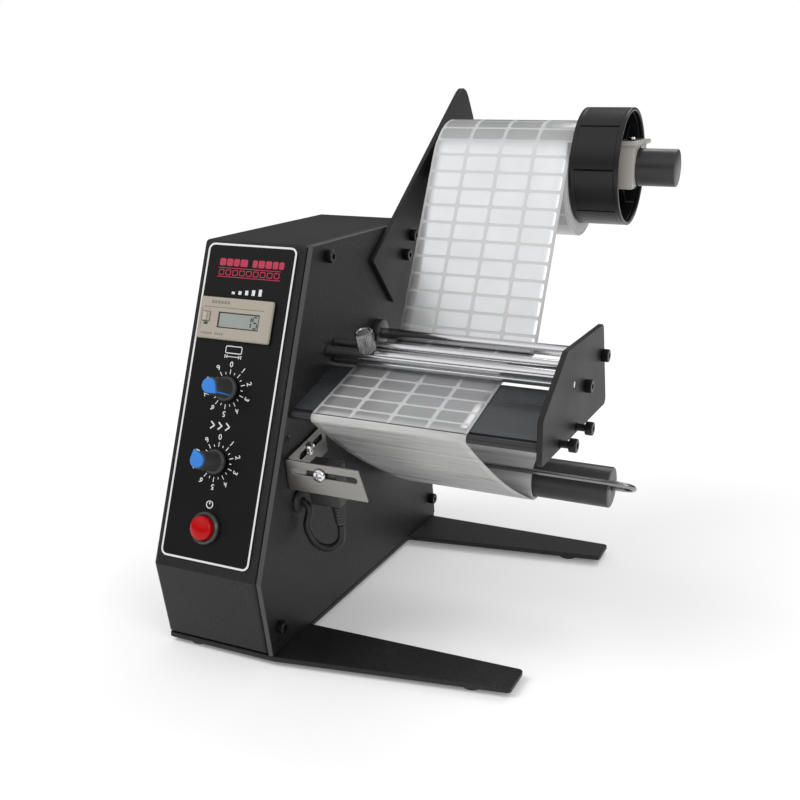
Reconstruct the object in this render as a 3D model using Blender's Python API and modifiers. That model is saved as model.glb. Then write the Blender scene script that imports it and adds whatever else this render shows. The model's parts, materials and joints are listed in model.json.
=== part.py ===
"""Desk label dispenser: a sloped control box beside an open web of rods, a peel plate and two rolls.

Metres, +Z up. The panel faces -Y and the rods run along +X from the side plate.
Places are measured from the box: X from its left face, Y from its knee, Z from the table.
The empty named machine then moves that corner so that the origin lies under the middle of it all.
"""

import math

import bmesh
import bpy
from mathutils import Matrix, Vector

# Clearances
SEAT_GAP = 0.0003
RUN_GAP = 0.0004
CUT_OVERRUN = 0.002

# Base plate, its two long feet and the rubber pads
PAD_HEIGHT = 0.0026
PAD_RADIUS = 0.0065
BASE_THICKNESS = 0.003
FOOT_REACH = 0.203
FOOT_TIP_WIDTH = 0.022
FRONT_FOOT_ROOT = 0.043
FRONT_FOOT_SWEEP = 0.024
REAR_FOOT_ROOT = 0.042
REAR_FOOT_SWEEP = 0.022
FOOT_CORNER = 0.002
PAD_FROM_TIP = 0.023

# Box outline, seen from the side
BOX_WIDTH = 0.071
BOX_HEIGHT = 0.2231
BOX_DEPTH = 0.2405
TOE_SETBACK = 0.0095
KNEE_HEIGHT = 0.0481
PANEL_SETBACK = 0.0674
TOP_DEPTH = 0.1356
SIDE_THICKNESS = 0.003
SIDE_EDGE_RADIUS = 0.0004
SEAM_GAP = 0.0006
COVER_WALL = 0.0015
COVER_LIP = 0.015
COVER_BEND = 0.0022

# Socket screws
SCREW_SHANK_RADIUS = 0.002
SCREW_HEAD_RADIUS = 0.00375
SCREW_HEAD_HEIGHT = 0.004
SCREW_GRIP = 0.006
SIDE_SCREW_INSET = 0.0078
SOCKET_RADIUS = 0.0016
SOCKET_DEPTH = 0.002

# Front panel, measured down its slope from the top edge
OVERLAY_LEFT = 0.0042
OVERLAY_WIDTH = 0.0582
OVERLAY_TOP = 0.0019
OVERLAY_FOOT = 0.0059
OVERLAY_THICKNESS = 0.0006
OVERLAY_CORNER = 0.004
CONTROL_LINE = 0.0315
COUNTER_LEFT = 0.0063
COUNTER_TOP_SHARE = 0.1770
COUNTER_WIDTH = 0.048
COUNTER_HEIGHT = 0.024
COUNTER_RIM = 0.0026
COUNTER_CORNER = 0.0012
COUNTER_BODY_INSET = 0.0016
COUNTER_BODY_DEPTH = 0.028
WINDOW_LEFT = 0.0132
WINDOW_TOP = 0.0083
WINDOW_WIDTH = 0.0271
WINDOW_HEIGHT = 0.0091
WINDOW_RECESS = 0.0012
WINDOW_THICKNESS = 0.0006
RESET_LEFT = 0.0028
RESET_TOP = 0.0086
RESET_WIDTH = 0.0052
RESET_HEIGHT = 0.0058
RESET_RECESS = 0.0022
RESET_PROUD = 0.0006
RESET_TRAVEL = 0.001
LENGTH_DIAL_SHARE = 0.4490
SPEED_DIAL_SHARE = 0.6681
LENGTH_DIAL_SETTING = math.radians(126)
SPEED_DIAL_SETTING = math.radians(336)
KNOB_SKIRT_RADIUS = 0.0071
KNOB_SKIRT_HEIGHT = 0.0025
KNOB_BASE_RADIUS = 0.0056
KNOB_TOP_RADIUS = 0.0048
KNOB_HEIGHT = 0.0155
KNOB_LIFT = 0.0009
KNOB_POINTER_REACH = 0.0068
KNOB_CAP_HEIGHT = 0.003
KNOB_BORE_DEPTH = 0.012
POT_SHAFT_RADIUS = 0.003
POT_BUSH_RADIUS = 0.0035
POT_BODY_RADIUS = 0.008
POT_BODY_DEPTH = 0.009
SWITCH_SHARE = 0.8660
SWITCH_RIM_RADIUS = 0.009
SWITCH_RIM_HEIGHT = 0.003
SWITCH_BARREL_RADIUS = 0.0079
SWITCH_BARREL_DEPTH = 0.022
BUTTON_RADIUS = 0.0068
BUTTON_PROUD = 0.0045
BUTTON_TRAVEL = 0.0025
BUTTON_STEM_DEPTH = 0.006
BUTTON_WELL_DEPTH = 0.0095

# Roll arm, seen from the side: a flat bar that leans back from the top of the side plate
ARM_THICKNESS = 0.003
ARM_FOOT_Y = 0.1351
ARM_FOOT_DROP = 0.0180
ARM_WIDTH = 0.0425
ARM_LENGTH = 0.181
ARM_LEAN = math.radians(35.5)
ARM_TIP_RADIUS = 0.012
ARM_FOOT_RADIUS = 0.0015
ARM_FOOT_SKEW = 0.006
ARM_SCREW_UPPER_Y = 0.1904
ARM_SCREW_UPPER_DROP = 0.0091
ARM_SCREW_LOWER_Y = 0.1802
ARM_SCREW_LOWER_DROP = 0.0203

# Roll shaft, the cup beside the roll and its clamp
ROLL_SHAFT_Y = 0.235
ROLL_SHAFT_RISE = 0.0349
ROLL_SHAFT_RADIUS = 0.0115
ROLL_SHAFT_REACH = 0.1632
SHAFT_CHAMFER = 0.001
CUP_RADIUS = 0.036
CUP_WALL = 0.0022
CUP_LENGTH = 0.030
CUP_FLOOR = 0.003
CUP_HUB_WALL = 0.003
CUP_HUB_LENGTH = 0.022
CUP_SLITS = 8
CUP_SLIT_WIDTH = 0.0008
CUP_SLIT_END = 0.003
CUP_RIBS = 4
CUP_RIB_THICKNESS = 0.002
CLAMP_LENGTH = 0.012
CLAMP_WIDTH = 0.034
CLAMP_HEIGHT = 0.029
CLAMP_DROP = 0.0125
CLAMP_SLIT = 0.0016
CLAMP_LIP_HEIGHT = 0.0028
CLAMP_LIP_REACH = 0.0022
CLAMP_CORNER = 0.001
CLAMP_SCREW_RADIUS = 0.0024
CLAMP_SCREW_HEIGHT = 0.0016

# Label web and its rolls
WEB_INSET = 0.014
WEB_WIDTH = 0.090
WEB_THICKNESS = 0.0004
CORE_BORE_RADIUS = 0.020
CORE_WALL = 0.002
ROLL_RADIUS = 0.036
WOUND_THICKNESS = 0.002
WEB_LEAD = math.radians(16)
LINER_SAG = 0.0045

# Rods between the side plate and the outer plate
BAY_WIDTH = 0.1415
REAR_ROD_Y = 0.1444
REAR_ROD_SHARE = 0.7104
REAR_ROD_RADIUS = 0.0035
HUB_RADIUS = 0.0087
HUB_LENGTH = 0.0045
MIDDLE_ROD_Y = 0.0905
MIDDLE_ROD_SHARE = 0.7355
MIDDLE_ROD_RADIUS = 0.003
FRONT_ROD_Y = 0.0807
FRONT_ROD_SHARE = 0.7225
FRONT_ROD_RADIUS = 0.0031
HOLD_DOWN_Y = 0.0895
HOLD_DOWN_RADIUS = 0.003
SUPPORT_ROD_Y = 0.110
SUPPORT_ROD_RADIUS = 0.003
ROLLER_PIN_RADIUS = 0.0018
HUB_BORE_DEPTH = 0.003
LOWER_TIE_SHARE = 0.5809
LOWER_TIE_REAR_Y = 0.0957
LOWER_TIE_FRONT_Y = 0.0647
LOWER_TIE_RADIUS = 0.003
LOWER_TIE_SHANK = 0.0055
THUMB_INSET = 0.0265
THUMB_RADIUS = 0.0053
THUMB_HEIGHT = 0.0125
THUMB_STEM_RADIUS = 0.002
THUMB_STEM_LENGTH = 0.0042
THUMB_SINK = 0.0022
THUMB_TILT = math.radians(22)
THUMB_RIDGES = 24
THUMB_RIDGE_DEPTH = 0.0004
THUMB_DISH = 0.0008

# Outer plate, seen from the side
OUTER_THICKNESS = 0.003
OUTER_BOTTOM_SHARE = 0.5643
OUTER_TOP_SHARE = 0.7929
OUTER_FRONT_Y = 0.0345
OUTER_BACK_Y = 0.1595
OUTER_TOP_BACK_Y = 0.1455
OUTER_TOP_FRONT_Y = 0.0735
OUTER_FRONT_RISE = 0.0245
OUTER_CORNER = 0.0035

# Peel bar and peel plate
PEEL_BAR_Y = 0.0382
PEEL_BAR_SHARE = 0.6042
PEEL_BAR_RADIUS = 0.0024
PEEL_PLATE_THICKNESS = 0.0012
PEEL_PLATE_BACK_Y = 0.0874
PEEL_PLATE_BACK_SHARE = 0.6732
PEEL_PLATE_FRONT_GAP = 0.0005

# Take-up shaft, its wire clip and its drive
TAKE_UP_Y = 0.160
TAKE_UP_SHARE = 0.3263
TAKE_UP_RADIUS = 0.0125
TAKE_UP_REACH = 0.1509
TAKE_UP_INSET = 0.0025
SPINDLE_RADIUS = 0.005
SPINDLE_START = 0.008
BUSH_RADIUS = 0.009
BUSH_FLANGE_RADIUS = 0.012
BUSH_FLANGE = 0.0015
CLIP_WIRE_RADIUS = 0.0016
CLIP_OUTER_LEG = 0.0969
CLIP_INNER_GAP = 0.0061
CLIP_BORE_DEPTH = 0.068
CLIP_OVERHANG = 0.0066
CLIP_RISE = math.radians(30)
CLIP_BEND_STEPS = 10
GEAR_MODULE = 0.001
GEAR_TEETH = 40
PINION_TEETH = 20
GEAR_FACE = 0.007
GEAR_X = 0.0135
GEAR_BACKLASH = 0.0006
PINION_BELOW = math.radians(45)
TOOTH_TIP_SHARE = 0.20
TOOTH_ROOT_SHARE = 0.62
GEAR_ROOT_SHARE = 1.25
MOTOR_SHAFT_RADIUS = 0.003
GEARBOX_RADIUS = 0.0155
GEARBOX_LENGTH = 0.022
MOTOR_RADIUS = 0.0150
MOTOR_START = 0.0235
MOTOR_FLANGE = 0.003
MOTOR_FLANGE_SIDE = 0.032

# Sensor on its slotted bracket
BRACKET_THICKNESS = 0.0012
BRACKET_WIDTH = 0.0190
BRACKET_REACH_BACK = 0.0440
BRACKET_REACH_OUT = 0.0490
BRACKET_TOP_Y = 0.0289
BRACKET_TOP_SHARE = 0.4989
BRACKET_TILT = math.radians(11.6)
BRACKET_SLOT_WIDTH = 0.0038
BRACKET_SLOT_DROP = 0.0065
BRACKET_CHAMFER = 0.004
SIDE_SLOT_START = 0.0155
SIDE_SLOT_END = 0.0385
LONG_SLOT_START = 0.0055
LONG_SLOT_END = 0.0420
PHILLIPS_HEAD_RADIUS = 0.0039
PHILLIPS_HEAD_HEIGHT = 0.0022
PHILLIPS_SHANK_RADIUS = 0.0014
PHILLIPS_DOME_SHARE = 0.9
PHILLIPS_WAIST_SHARE = 0.85
BRACKET_SCREW_ALONG = 0.0245
SENSOR_ALONG = 0.0210
SENSOR_TRAVEL = 0.010
SENSOR_WIDTH = 0.0185
SENSOR_DEPTH = 0.012
SENSOR_ABOVE = 0.0035
SENSOR_BELOW = 0.0215
SENSOR_CORNER = 0.0015
BOOT_RADIUS = 0.0040
BOOT_TIP_RADIUS = 0.0028
BOOT_LENGTH = 0.014
CABLE_RADIUS = 0.0022
CABLE_DROP = 0.016
CABLE_TAIL = 0.001
GROMMET_RADIUS = 0.0048
GROMMET_FLANGE = 0.0022
GROMMET_Y = 0.0435
GROMMET_SHARE = 0.3675

# Pieces inside the box and in its back wall
BOARD_LEFT_GAP = 0.006
BOARD_THICKNESS = 0.0016
BOARD_LENGTH = 0.075
BOARD_HEIGHT = 0.050
BOARD_Y = 0.115
BOARD_SHARE = 0.6472
BOARD_POST_RADIUS = 0.003
BOARD_POST_INSET = 0.005
CAPACITOR_RADIUS = 0.006
CAPACITOR_HEIGHT = 0.016
INLET_UP = 0.030
INLET_X = 0.035
INLET_RADIUS = 0.0055
INLET_FLANGE_RADIUS = 0.0075
INLET_FLANGE = 0.002
INLET_DEPTH = 0.014
INLET_BORE_RADIUS = 0.0032
INLET_BORE_DEPTH = 0.010
INLET_PIN_RADIUS = 0.001

# Facets on each kind of round piece
FINE_STEPS = 40
ROUND_STEPS = 28
SMALL_STEPS = 20
TINY_STEPS = 12
CORNER_STEPS = 4
SAG_STEPS = 10

# Worked out from the sizes above
BASE_TOP = PAD_HEIGHT + BASE_THICKNESS
BOX_FOOT = BASE_TOP + SEAT_GAP
BOX_TOP = BASE_TOP + BOX_HEIGHT
TOP_BACK_Y = PANEL_SETBACK + TOP_DEPTH
SIDE_INNER = BOX_WIDTH - SIDE_THICKNESS
COVER_WIDTH = SIDE_INNER - SEAM_GAP
PANEL_RISE = BOX_HEIGHT - KNEE_HEIGHT
PANEL_ANGLE = math.atan2(PANEL_RISE, PANEL_SETBACK)
PANEL_LENGTH = math.hypot(PANEL_RISE, PANEL_SETBACK)
REAR_ROD_Z = BASE_TOP + REAR_ROD_SHARE * BOX_HEIGHT
MIDDLE_ROD_Z = BASE_TOP + MIDDLE_ROD_SHARE * BOX_HEIGHT
FRONT_ROD_Z = BASE_TOP + FRONT_ROD_SHARE * BOX_HEIGHT
LOWER_TIE_Z = BASE_TOP + LOWER_TIE_SHARE * BOX_HEIGHT
OUTER_BOTTOM = BASE_TOP + OUTER_BOTTOM_SHARE * BOX_HEIGHT
OUTER_TOP = BASE_TOP + OUTER_TOP_SHARE * BOX_HEIGHT
PEEL_BAR_Z = BASE_TOP + PEEL_BAR_SHARE * BOX_HEIGHT
PEEL_PLATE_BACK_Z = BASE_TOP + PEEL_PLATE_BACK_SHARE * BOX_HEIGHT
TAKE_UP_Z = BASE_TOP + TAKE_UP_SHARE * BOX_HEIGHT
BRACKET_TOP_Z = BASE_TOP + BRACKET_TOP_SHARE * BOX_HEIGHT
GROMMET_Z = BASE_TOP + GROMMET_SHARE * BOX_HEIGHT
BOARD_Z = BASE_TOP + BOARD_SHARE * BOX_HEIGHT
ARM_FOOT_Z = BOX_TOP - ARM_FOOT_DROP
ARM_SCREW_UPPER_Z = BOX_TOP - ARM_SCREW_UPPER_DROP
ARM_SCREW_LOWER_Z = BOX_TOP - ARM_SCREW_LOWER_DROP
ROLL_SHAFT_Z = BOX_TOP + ROLL_SHAFT_RISE
WEB_LEFT = BOX_WIDTH + WEB_INSET
ROLL_SHAFT_END = BOX_WIDTH + ROLL_SHAFT_REACH
THUMB_X = BOX_WIDTH + THUMB_INSET
TAKE_UP_END = BOX_WIDTH + TAKE_UP_REACH
TAKE_UP_START = BOX_WIDTH + TAKE_UP_INSET
CLIP_OUTER_START = TAKE_UP_END - CLIP_OUTER_LEG
CLIP_INNER_START = TAKE_UP_END - CLIP_BORE_DEPTH + CLIP_INNER_GAP
CLIP_STRAIGHT_END = TAKE_UP_END + CLIP_OVERHANG
COUNTER_TOP = COUNTER_TOP_SHARE * PANEL_LENGTH
LENGTH_DIAL_DOWN = LENGTH_DIAL_SHARE * PANEL_LENGTH
SPEED_DIAL_DOWN = SPEED_DIAL_SHARE * PANEL_LENGTH
SWITCH_DOWN = SWITCH_SHARE * PANEL_LENGTH
OVERLAY_LENGTH = PANEL_LENGTH - OVERLAY_TOP - OVERLAY_FOOT
BAY_START = BOX_WIDTH + SEAT_GAP
BAY_END = BOX_WIDTH + BAY_WIDTH
OUTER_FACE = BAY_END + OUTER_THICKNESS
WEB_MIDDLE = WEB_LEFT + WEB_WIDTH / 2
WEB_RIGHT = WEB_LEFT + WEB_WIDTH
WEB_STANDOFF = SEAT_GAP + WEB_THICKNESS / 2
ROLL_Z = ROLL_SHAFT_Z + ROLL_SHAFT_RADIUS + SEAT_GAP - CORE_BORE_RADIUS
CUP_START = WEB_RIGHT + 2 * RUN_GAP
CUP_END = CUP_START + CUP_LENGTH
CUP_HUB_RADIUS = ROLL_SHAFT_RADIUS + RUN_GAP + CUP_HUB_WALL
CLAMP_START = CUP_START + CUP_HUB_LENGTH + 2 * RUN_GAP
CLIP_RADIUS = TAKE_UP_RADIUS + WOUND_THICKNESS + SEAT_GAP + CLIP_WIRE_RADIUS
CLIP_END = CLIP_STRAIGHT_END + CLIP_RADIUS / 2 + CLIP_WIRE_RADIUS
GEAR_SPREAD = (GEAR_TEETH + PINION_TEETH) * GEAR_MODULE / 2
PINION_Y = TAKE_UP_Y - GEAR_SPREAD * math.cos(PINION_BELOW)
PINION_Z = TAKE_UP_Z - GEAR_SPREAD * math.sin(PINION_BELOW)
PANEL_FACE = 2 * SEAT_GAP + OVERLAY_THICKNESS
KNOB_FOOT = PANEL_FACE + KNOB_LIFT
BACK_ANGLE = math.atan2(BOX_HEIGHT, BOX_DEPTH - TOP_BACK_Y)

TO_X = (0, math.pi / 2, 0)
SIDE_VIEW = Matrix(((0, 0, 1), (1, 0, 0), (0, 1, 0)))


def clear_scene():
    for thing in list(bpy.data.objects):
        bpy.data.objects.remove(thing, do_unlink=True)


def make_collection(name, hidden=False):
    made = bpy.data.collections.new(name)
    bpy.context.scene.collection.children.link(made)
    made.hide_render = hidden
    return made


def material(name, colour, roughness, metallic=0.0):
    made = bpy.data.materials.new(name)
    made.use_nodes = True
    shader = made.node_tree.nodes["Principled BSDF"]
    shader.inputs["Base Color"].default_value = (*colour, 1.0)
    shader.inputs["Roughness"].default_value = roughness
    shader.inputs["Metallic"].default_value = metallic
    return made


def make_materials():
    """One material for each finish on the machine."""
    return {
        "powder": material("black_powder_coat", (0.035, 0.036, 0.038), 0.55),
        "overlay": material("overlay_black", (0.012, 0.012, 0.013), 0.35),
        "bolt": material("black_oxide", (0.012, 0.012, 0.012), 0.4, 0.6),
        "chrome": material("polished_chrome", (0.75, 0.75, 0.76), 0.12, 1.0),
        "stainless": material("brushed_stainless", (0.55, 0.54, 0.52), 0.32, 1.0),
        "anodised": material("black_anodised", (0.03, 0.03, 0.032), 0.3, 0.5),
        "black_plastic": material("satin_black_plastic", (0.02, 0.02, 0.02), 0.38),
        "grey_plastic": material("warm_grey_plastic", (0.46, 0.45, 0.42), 0.45),
        "label": material("silver_label", (0.82, 0.83, 0.84), 0.3),
        "liner": material("glassine_liner", (0.5, 0.5, 0.5), 0.4),
        "card": material("cardboard", (0.45, 0.34, 0.22), 0.8),
        "beige": material("beige_plastic", (0.55, 0.48, 0.38), 0.45),
        "window": material("lcd_window", (0.4, 0.43, 0.38), 0.15),
        "red": material("red_button", (0.6, 0.01, 0.01), 0.3),
        "rubber": material("black_rubber", (0.02, 0.02, 0.02), 0.8),
        "board": material("green_board", (0.03, 0.2, 0.08), 0.5),
        "brass": material("brass", (0.6, 0.45, 0.18), 0.35, 1.0),
    }


def empty(name, location, rotation=(0, 0, 0), parent=None):
    made = bpy.data.objects.new(name, None)
    made.location = location
    made.rotation_euler = rotation
    made.parent = parent
    bpy.context.scene.collection.objects.link(made)
    return made


class Workshop:
    """Where finished pieces and cutters are put, and what they are made of."""

    def __init__(self):
        self.parts = make_collection("label_dispenser")
        self.cutters = make_collection("cutters", hidden=True)
        self.finish = make_materials()
        self.machine = empty("machine", -machine_middle())
        self.panel = empty("panel", (0, PANEL_SETBACK, BOX_TOP), (PANEL_ANGLE, 0, 0), self.machine)
        lower_back = (0, BOX_DEPTH, BASE_TOP)
        self.back = empty("back_wall", lower_back, (BACK_ANGLE, 0, math.pi), self.machine)
        bracket = (BAY_START, BRACKET_TOP_Y, BRACKET_TOP_Z)
        self.bracket = empty("bracket", bracket, (BRACKET_TILT, 0, 0), self.machine)


def place(shop, name, mesh, finish, location, rotation=(0, 0, 0), parent=None, cutter=False):
    made = bpy.data.objects.new(name, mesh)
    made.parent = parent or shop.machine
    made.location = location
    made.rotation_euler = rotation
    if cutter:
        shop.cutters.objects.link(made)
        made.hide_render = True
        made.display_type = "WIRE"
        return made
    shop.parts.objects.link(made)
    mesh.materials.append(shop.finish[finish])
    return made


def cut(piece, cutter, operation="DIFFERENCE"):
    step = piece.modifiers.new("with_" + cutter.name, "BOOLEAN")
    step.operation = operation
    step.object = cutter
    step.solver = "EXACT"


def bevel(piece, width, segments=2, angle=math.radians(40)):
    step = piece.modifiers.new("rounded", "BEVEL")
    step.width = width
    step.segments = segments
    step.limit_method = "ANGLE"
    step.angle_limit = angle


def smooth(mesh, angle=math.radians(35)):
    mesh.shade_smooth()
    mesh.set_sharp_from_angle(angle=angle)


def box_mesh(name, size, middle=(0, 0, 0)):
    """A box of this size about middle, made by scaling the vertices of a unit cube."""
    made = bmesh.new()
    bmesh.ops.create_cube(made, size=1)
    bmesh.ops.scale(made, vec=size, verts=made.verts)
    bmesh.ops.translate(made, vec=middle, verts=made.verts)
    mesh = bpy.data.meshes.new(name)
    made.to_mesh(mesh)
    made.free()
    return mesh


def cylinder_mesh(name, radius, low, high, steps, top_radius=None):
    """A cylinder or cone along local Z, from low to high."""
    made = bmesh.new()
    top = radius if top_radius is None else top_radius
    bmesh.ops.create_cone(
        made, cap_ends=True, segments=steps, radius1=radius, radius2=top, depth=high - low
    )
    bmesh.ops.translate(made, vec=(0, 0, (low + high) / 2), verts=made.verts)
    mesh = bpy.data.meshes.new(name)
    made.to_mesh(mesh)
    made.free()
    smooth(mesh)
    return mesh


def profile_mesh(name, profile, closed=False):
    made = bmesh.new()
    verts = [made.verts.new((radius, 0, along)) for radius, along in profile]
    for first, second in zip(verts, verts[1:]):
        made.edges.new((first, second))
    if closed:
        made.edges.new((verts[-1], verts[0]))
    mesh = bpy.data.meshes.new(name)
    made.to_mesh(mesh)
    made.free()
    return mesh


def turned(shop, name, profile, finish, location, rotation=TO_X, steps=ROUND_STEPS, **more):
    """A turned piece: profile holds (radius, place along the axis), outer side from top to bottom."""
    closed = more.pop("closed", False)
    piece = place(shop, name, profile_mesh(name, profile, closed), finish, location, rotation, **more)
    step = piece.modifiers.new("turned", "SCREW")
    step.steps = steps
    step.render_steps = steps
    step.use_merge_vertices = True
    step.merge_threshold = 1e-6
    step.use_smooth_shade = True
    return piece


def fillet(corners, steps=CORNER_STEPS):
    """A closed outline from (across, up, radius) corners, with each corner rounded by an arc."""
    points = []
    count = len(corners)
    for i, (x, y, radius) in enumerate(corners):
        here = Vector((x, y))
        before = (Vector(corners[i - 1][:2]) - here).normalized()
        after = (Vector(corners[(i + 1) % count][:2]) - here).normalized()
        if not radius:
            points.append(here)
            continue
        half = before.angle(after) / 2
        middle = here + (before + after).normalized() * (radius / math.sin(half))
        start = here + before * (radius / math.tan(half)) - middle
        turn = start.angle_signed(here + after * (radius / math.tan(half)) - middle)
        for k in range(steps + 1):
            points.append(middle + Matrix.Rotation(-turn * k / steps, 2) @ start)
    return points


def round_hole(across, up, radius, steps=SMALL_STEPS):
    spots = [math.tau * k / steps for k in range(steps)]
    return [Vector((across + radius * math.cos(a), up + radius * math.sin(a))) for a in spots]


def slot_hole(across, up, angle, length, width, steps=CORNER_STEPS):
    """A slot with round ends, from (across, up) for length along angle."""
    points = []
    for end, first in ((length, -math.pi / 2), (0, math.pi / 2)):
        for k in range(2 * steps + 1):
            turn = first + math.pi * k / (2 * steps)
            points.append(Vector((end + width / 2 * math.cos(turn), width / 2 * math.sin(turn))))
    turned_by = Matrix.Rotation(angle, 2)
    return [Vector((across, up)) + turned_by @ point for point in points]


def outline_curve(name, loops, thickness, edge=0.0):
    """A flat 2D curve of loops, filled on both sides, with holes where loops lie inside others."""
    curve = bpy.data.curves.new(name, "CURVE")
    curve.dimensions = "2D"
    curve.fill_mode = "BOTH"
    curve.extrude = thickness / 2 - edge
    curve.bevel_depth = edge
    curve.bevel_resolution = 0
    curve.offset = -edge
    for loop in loops:
        spline = curve.splines.new("POLY")
        spline.points.add(len(loop) - 1)
        for point, (x, y) in zip(spline.points, loop):
            point.co = (x, y, 0, 1)
        spline.use_cyclic_u = True
    return curve


def curve_to_mesh(name, curve):
    """The mesh of a curve, with its loose caps welded on."""
    holder = bpy.data.objects.new(name + "_curve", curve)
    bpy.context.scene.collection.objects.link(holder)
    bpy.context.view_layer.update()
    graph = bpy.context.evaluated_depsgraph_get()
    mesh = bpy.data.meshes.new_from_object(holder.evaluated_get(graph))
    bpy.data.objects.remove(holder, do_unlink=True)
    made = bmesh.new()
    made.from_mesh(mesh)
    bmesh.ops.remove_doubles(made, verts=made.verts, dist=1e-7)
    bmesh.ops.recalc_face_normals(made, faces=made.faces)
    made.to_mesh(mesh)
    made.free()
    mesh.name = name
    mesh.materials.clear()
    return mesh


def side_plate_like(shop, name, loops, finish, x_low, thickness, edge=0.0, **more):
    """A flat piece whose outline is given in Y and Z, from x_low for its thickness."""
    mesh = curve_to_mesh(name, outline_curve(name, loops, thickness, edge))
    middle = (x_low + thickness / 2, 0, 0)
    return place(shop, name, mesh, finish, middle, SIDE_VIEW.to_euler(), **more)


def prism(shop, name, outline, x_low, x_high, finish=None, cutter=True):
    mesh = curve_to_mesh(name, outline_curve(name, [outline], x_high - x_low))
    middle = ((x_low + x_high) / 2, 0, 0)
    return place(shop, name, mesh, finish, middle, SIDE_VIEW.to_euler(), cutter=cutter)


def inset_outline(points, inset):
    """A convex outline moved inwards, given anticlockwise points."""
    moved = []
    count = len(points)
    for i, here in enumerate(points):
        before = (here - points[i - 1]).normalized()
        after = (points[(i + 1) % count] - here).normalized()
        inward = Vector((-before.y - after.y, before.x + after.x)).normalized()
        half = math.pi / 2 - before.angle(after) / 2
        moved.append(here + inward * (inset / math.sin(half)))
    return moved


def box_corners(foot):
    """The box's outline in Y and Z, anticlockwise from the toe, standing on foot."""
    return [
        Vector((TOE_SETBACK, foot)),
        Vector((BOX_DEPTH, foot)),
        Vector((TOP_BACK_Y, BOX_TOP)),
        Vector((PANEL_SETBACK, BOX_TOP)),
        Vector((0.0, BASE_TOP + KNEE_HEIGHT)),
    ]


def arm_corners():
    """The roll arm's four corners with their radii."""
    along = Vector((math.cos(ARM_LEAN), math.sin(ARM_LEAN)))
    across = Vector((along.y, -along.x))
    foot = Vector((ARM_FOOT_Y, ARM_FOOT_Z))
    tip = foot + along * ARM_LENGTH
    lower = foot + across * ARM_WIDTH + along * ARM_FOOT_SKEW
    lower_tip = tip + across * ARM_WIDTH
    return [
        (*foot, ARM_FOOT_RADIUS),
        (*lower, ARM_FOOT_RADIUS),
        (*lower_tip, ARM_TIP_RADIUS),
        (*tip, ARM_TIP_RADIUS),
    ]


def machine_middle():
    """The middle of the table area under the whole machine, from the lower knob to the arm's tip."""
    out = KNOB_FOOT + KNOB_HEIGHT + KNOB_CAP_HEIGHT
    down = SPEED_DIAL_DOWN + KNOB_TOP_RADIUS
    front = PANEL_SETBACK - down * math.cos(PANEL_ANGLE) - out * math.sin(PANEL_ANGLE)
    back = max(point.x for point in fillet(arm_corners()))
    return Vector((CLIP_END / 2, (min(front, 0) + back) / 2, 0))


def socket_head(start):
    """The upper end of a socket screw's profile, with the underside of its head at start."""
    head, edge = SCREW_HEAD_HEIGHT, SCREW_HEAD_HEIGHT / 8
    return [
        (0, start + head - SOCKET_DEPTH),
        (SOCKET_RADIUS, start + head - SOCKET_DEPTH),
        (SOCKET_RADIUS, start + head),
        (SCREW_HEAD_RADIUS - edge, start + head),
        (SCREW_HEAD_RADIUS, start + head - edge),
        (SCREW_HEAD_RADIUS, start),
    ]


def screw_profile(grip):
    """A socket screw whose head stands on Z zero, with its shank below."""
    return [*socket_head(0), (SCREW_SHANK_RADIUS, 0), (SCREW_SHANK_RADIUS, -grip), (0, -grip)]


def side_screw_spots():
    """Where the three screws hold the side plate to the cover's lip, by name."""
    toe, back, _, top_front, knee = box_corners(BASE_TOP)
    inset = SIDE_SCREW_INSET
    return {
        "side_screw_top": (top_front.x + 2 * inset, top_front.y - inset),
        "side_screw_bottom": (toe.x + inset, toe.y + 2 * inset),
        "side_screw_back": (back.x - inset - SCREW_SHANK_RADIUS, back.y + 2 * inset),
    }


def make_base(shop):
    """The flat base with two long feet, on four rubber pads."""
    toe = TOE_SETBACK
    front_tip = toe + FRONT_FOOT_SWEEP
    rear_root = BOX_DEPTH - REAR_FOOT_ROOT - TOE_SETBACK / 2
    rear_tip = rear_root + REAR_FOOT_SWEEP
    corner = FOOT_CORNER
    outline = fillet(
        [
            (0, toe, corner),
            (BOX_WIDTH, toe, 0),
            (FOOT_REACH, front_tip, corner),
            (FOOT_REACH, front_tip + FOOT_TIP_WIDTH, corner),
            (BOX_WIDTH, toe + FRONT_FOOT_ROOT, corner),
            (BOX_WIDTH, rear_root, corner),
            (FOOT_REACH, rear_tip, corner),
            (FOOT_REACH, rear_tip + FOOT_TIP_WIDTH, corner),
            (BOX_WIDTH, rear_root + REAR_FOOT_ROOT, 0),
            (BOX_WIDTH, BOX_DEPTH, corner),
            (0, BOX_DEPTH, corner),
        ]
    )
    curve = outline_curve("base_plate", [outline], BASE_THICKNESS, SIDE_EDGE_RADIUS)
    middle = (0, 0, PAD_HEIGHT + BASE_THICKNESS / 2)
    place(shop, "base_plate", curve_to_mesh("base_plate", curve), "powder", middle)
    across = FOOT_REACH - PAD_FROM_TIP
    share = (across - BOX_WIDTH) / (FOOT_REACH - BOX_WIDTH)
    inset = PAD_RADIUS + FOOT_CORNER
    spots = {
        "foot_pad_front": (across, toe + FRONT_FOOT_SWEEP * share + inset),
        "foot_pad_rear": (across, rear_root + REAR_FOOT_SWEEP * share + inset),
        "box_pad_front": (2 * inset, toe + inset),
        "box_pad_rear": (2 * inset, BOX_DEPTH - 2 * inset),
    }
    top = PAD_HEIGHT - SEAT_GAP
    edge = PAD_HEIGHT / 5
    profile = [(0, top), (PAD_RADIUS, top), (PAD_RADIUS, edge), (PAD_RADIUS - edge, 0), (0, 0)]
    for name, spot in spots.items():
        turned(shop, name, profile, "rubber", (*spot, 0), (0, 0, 0), SMALL_STEPS)


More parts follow.
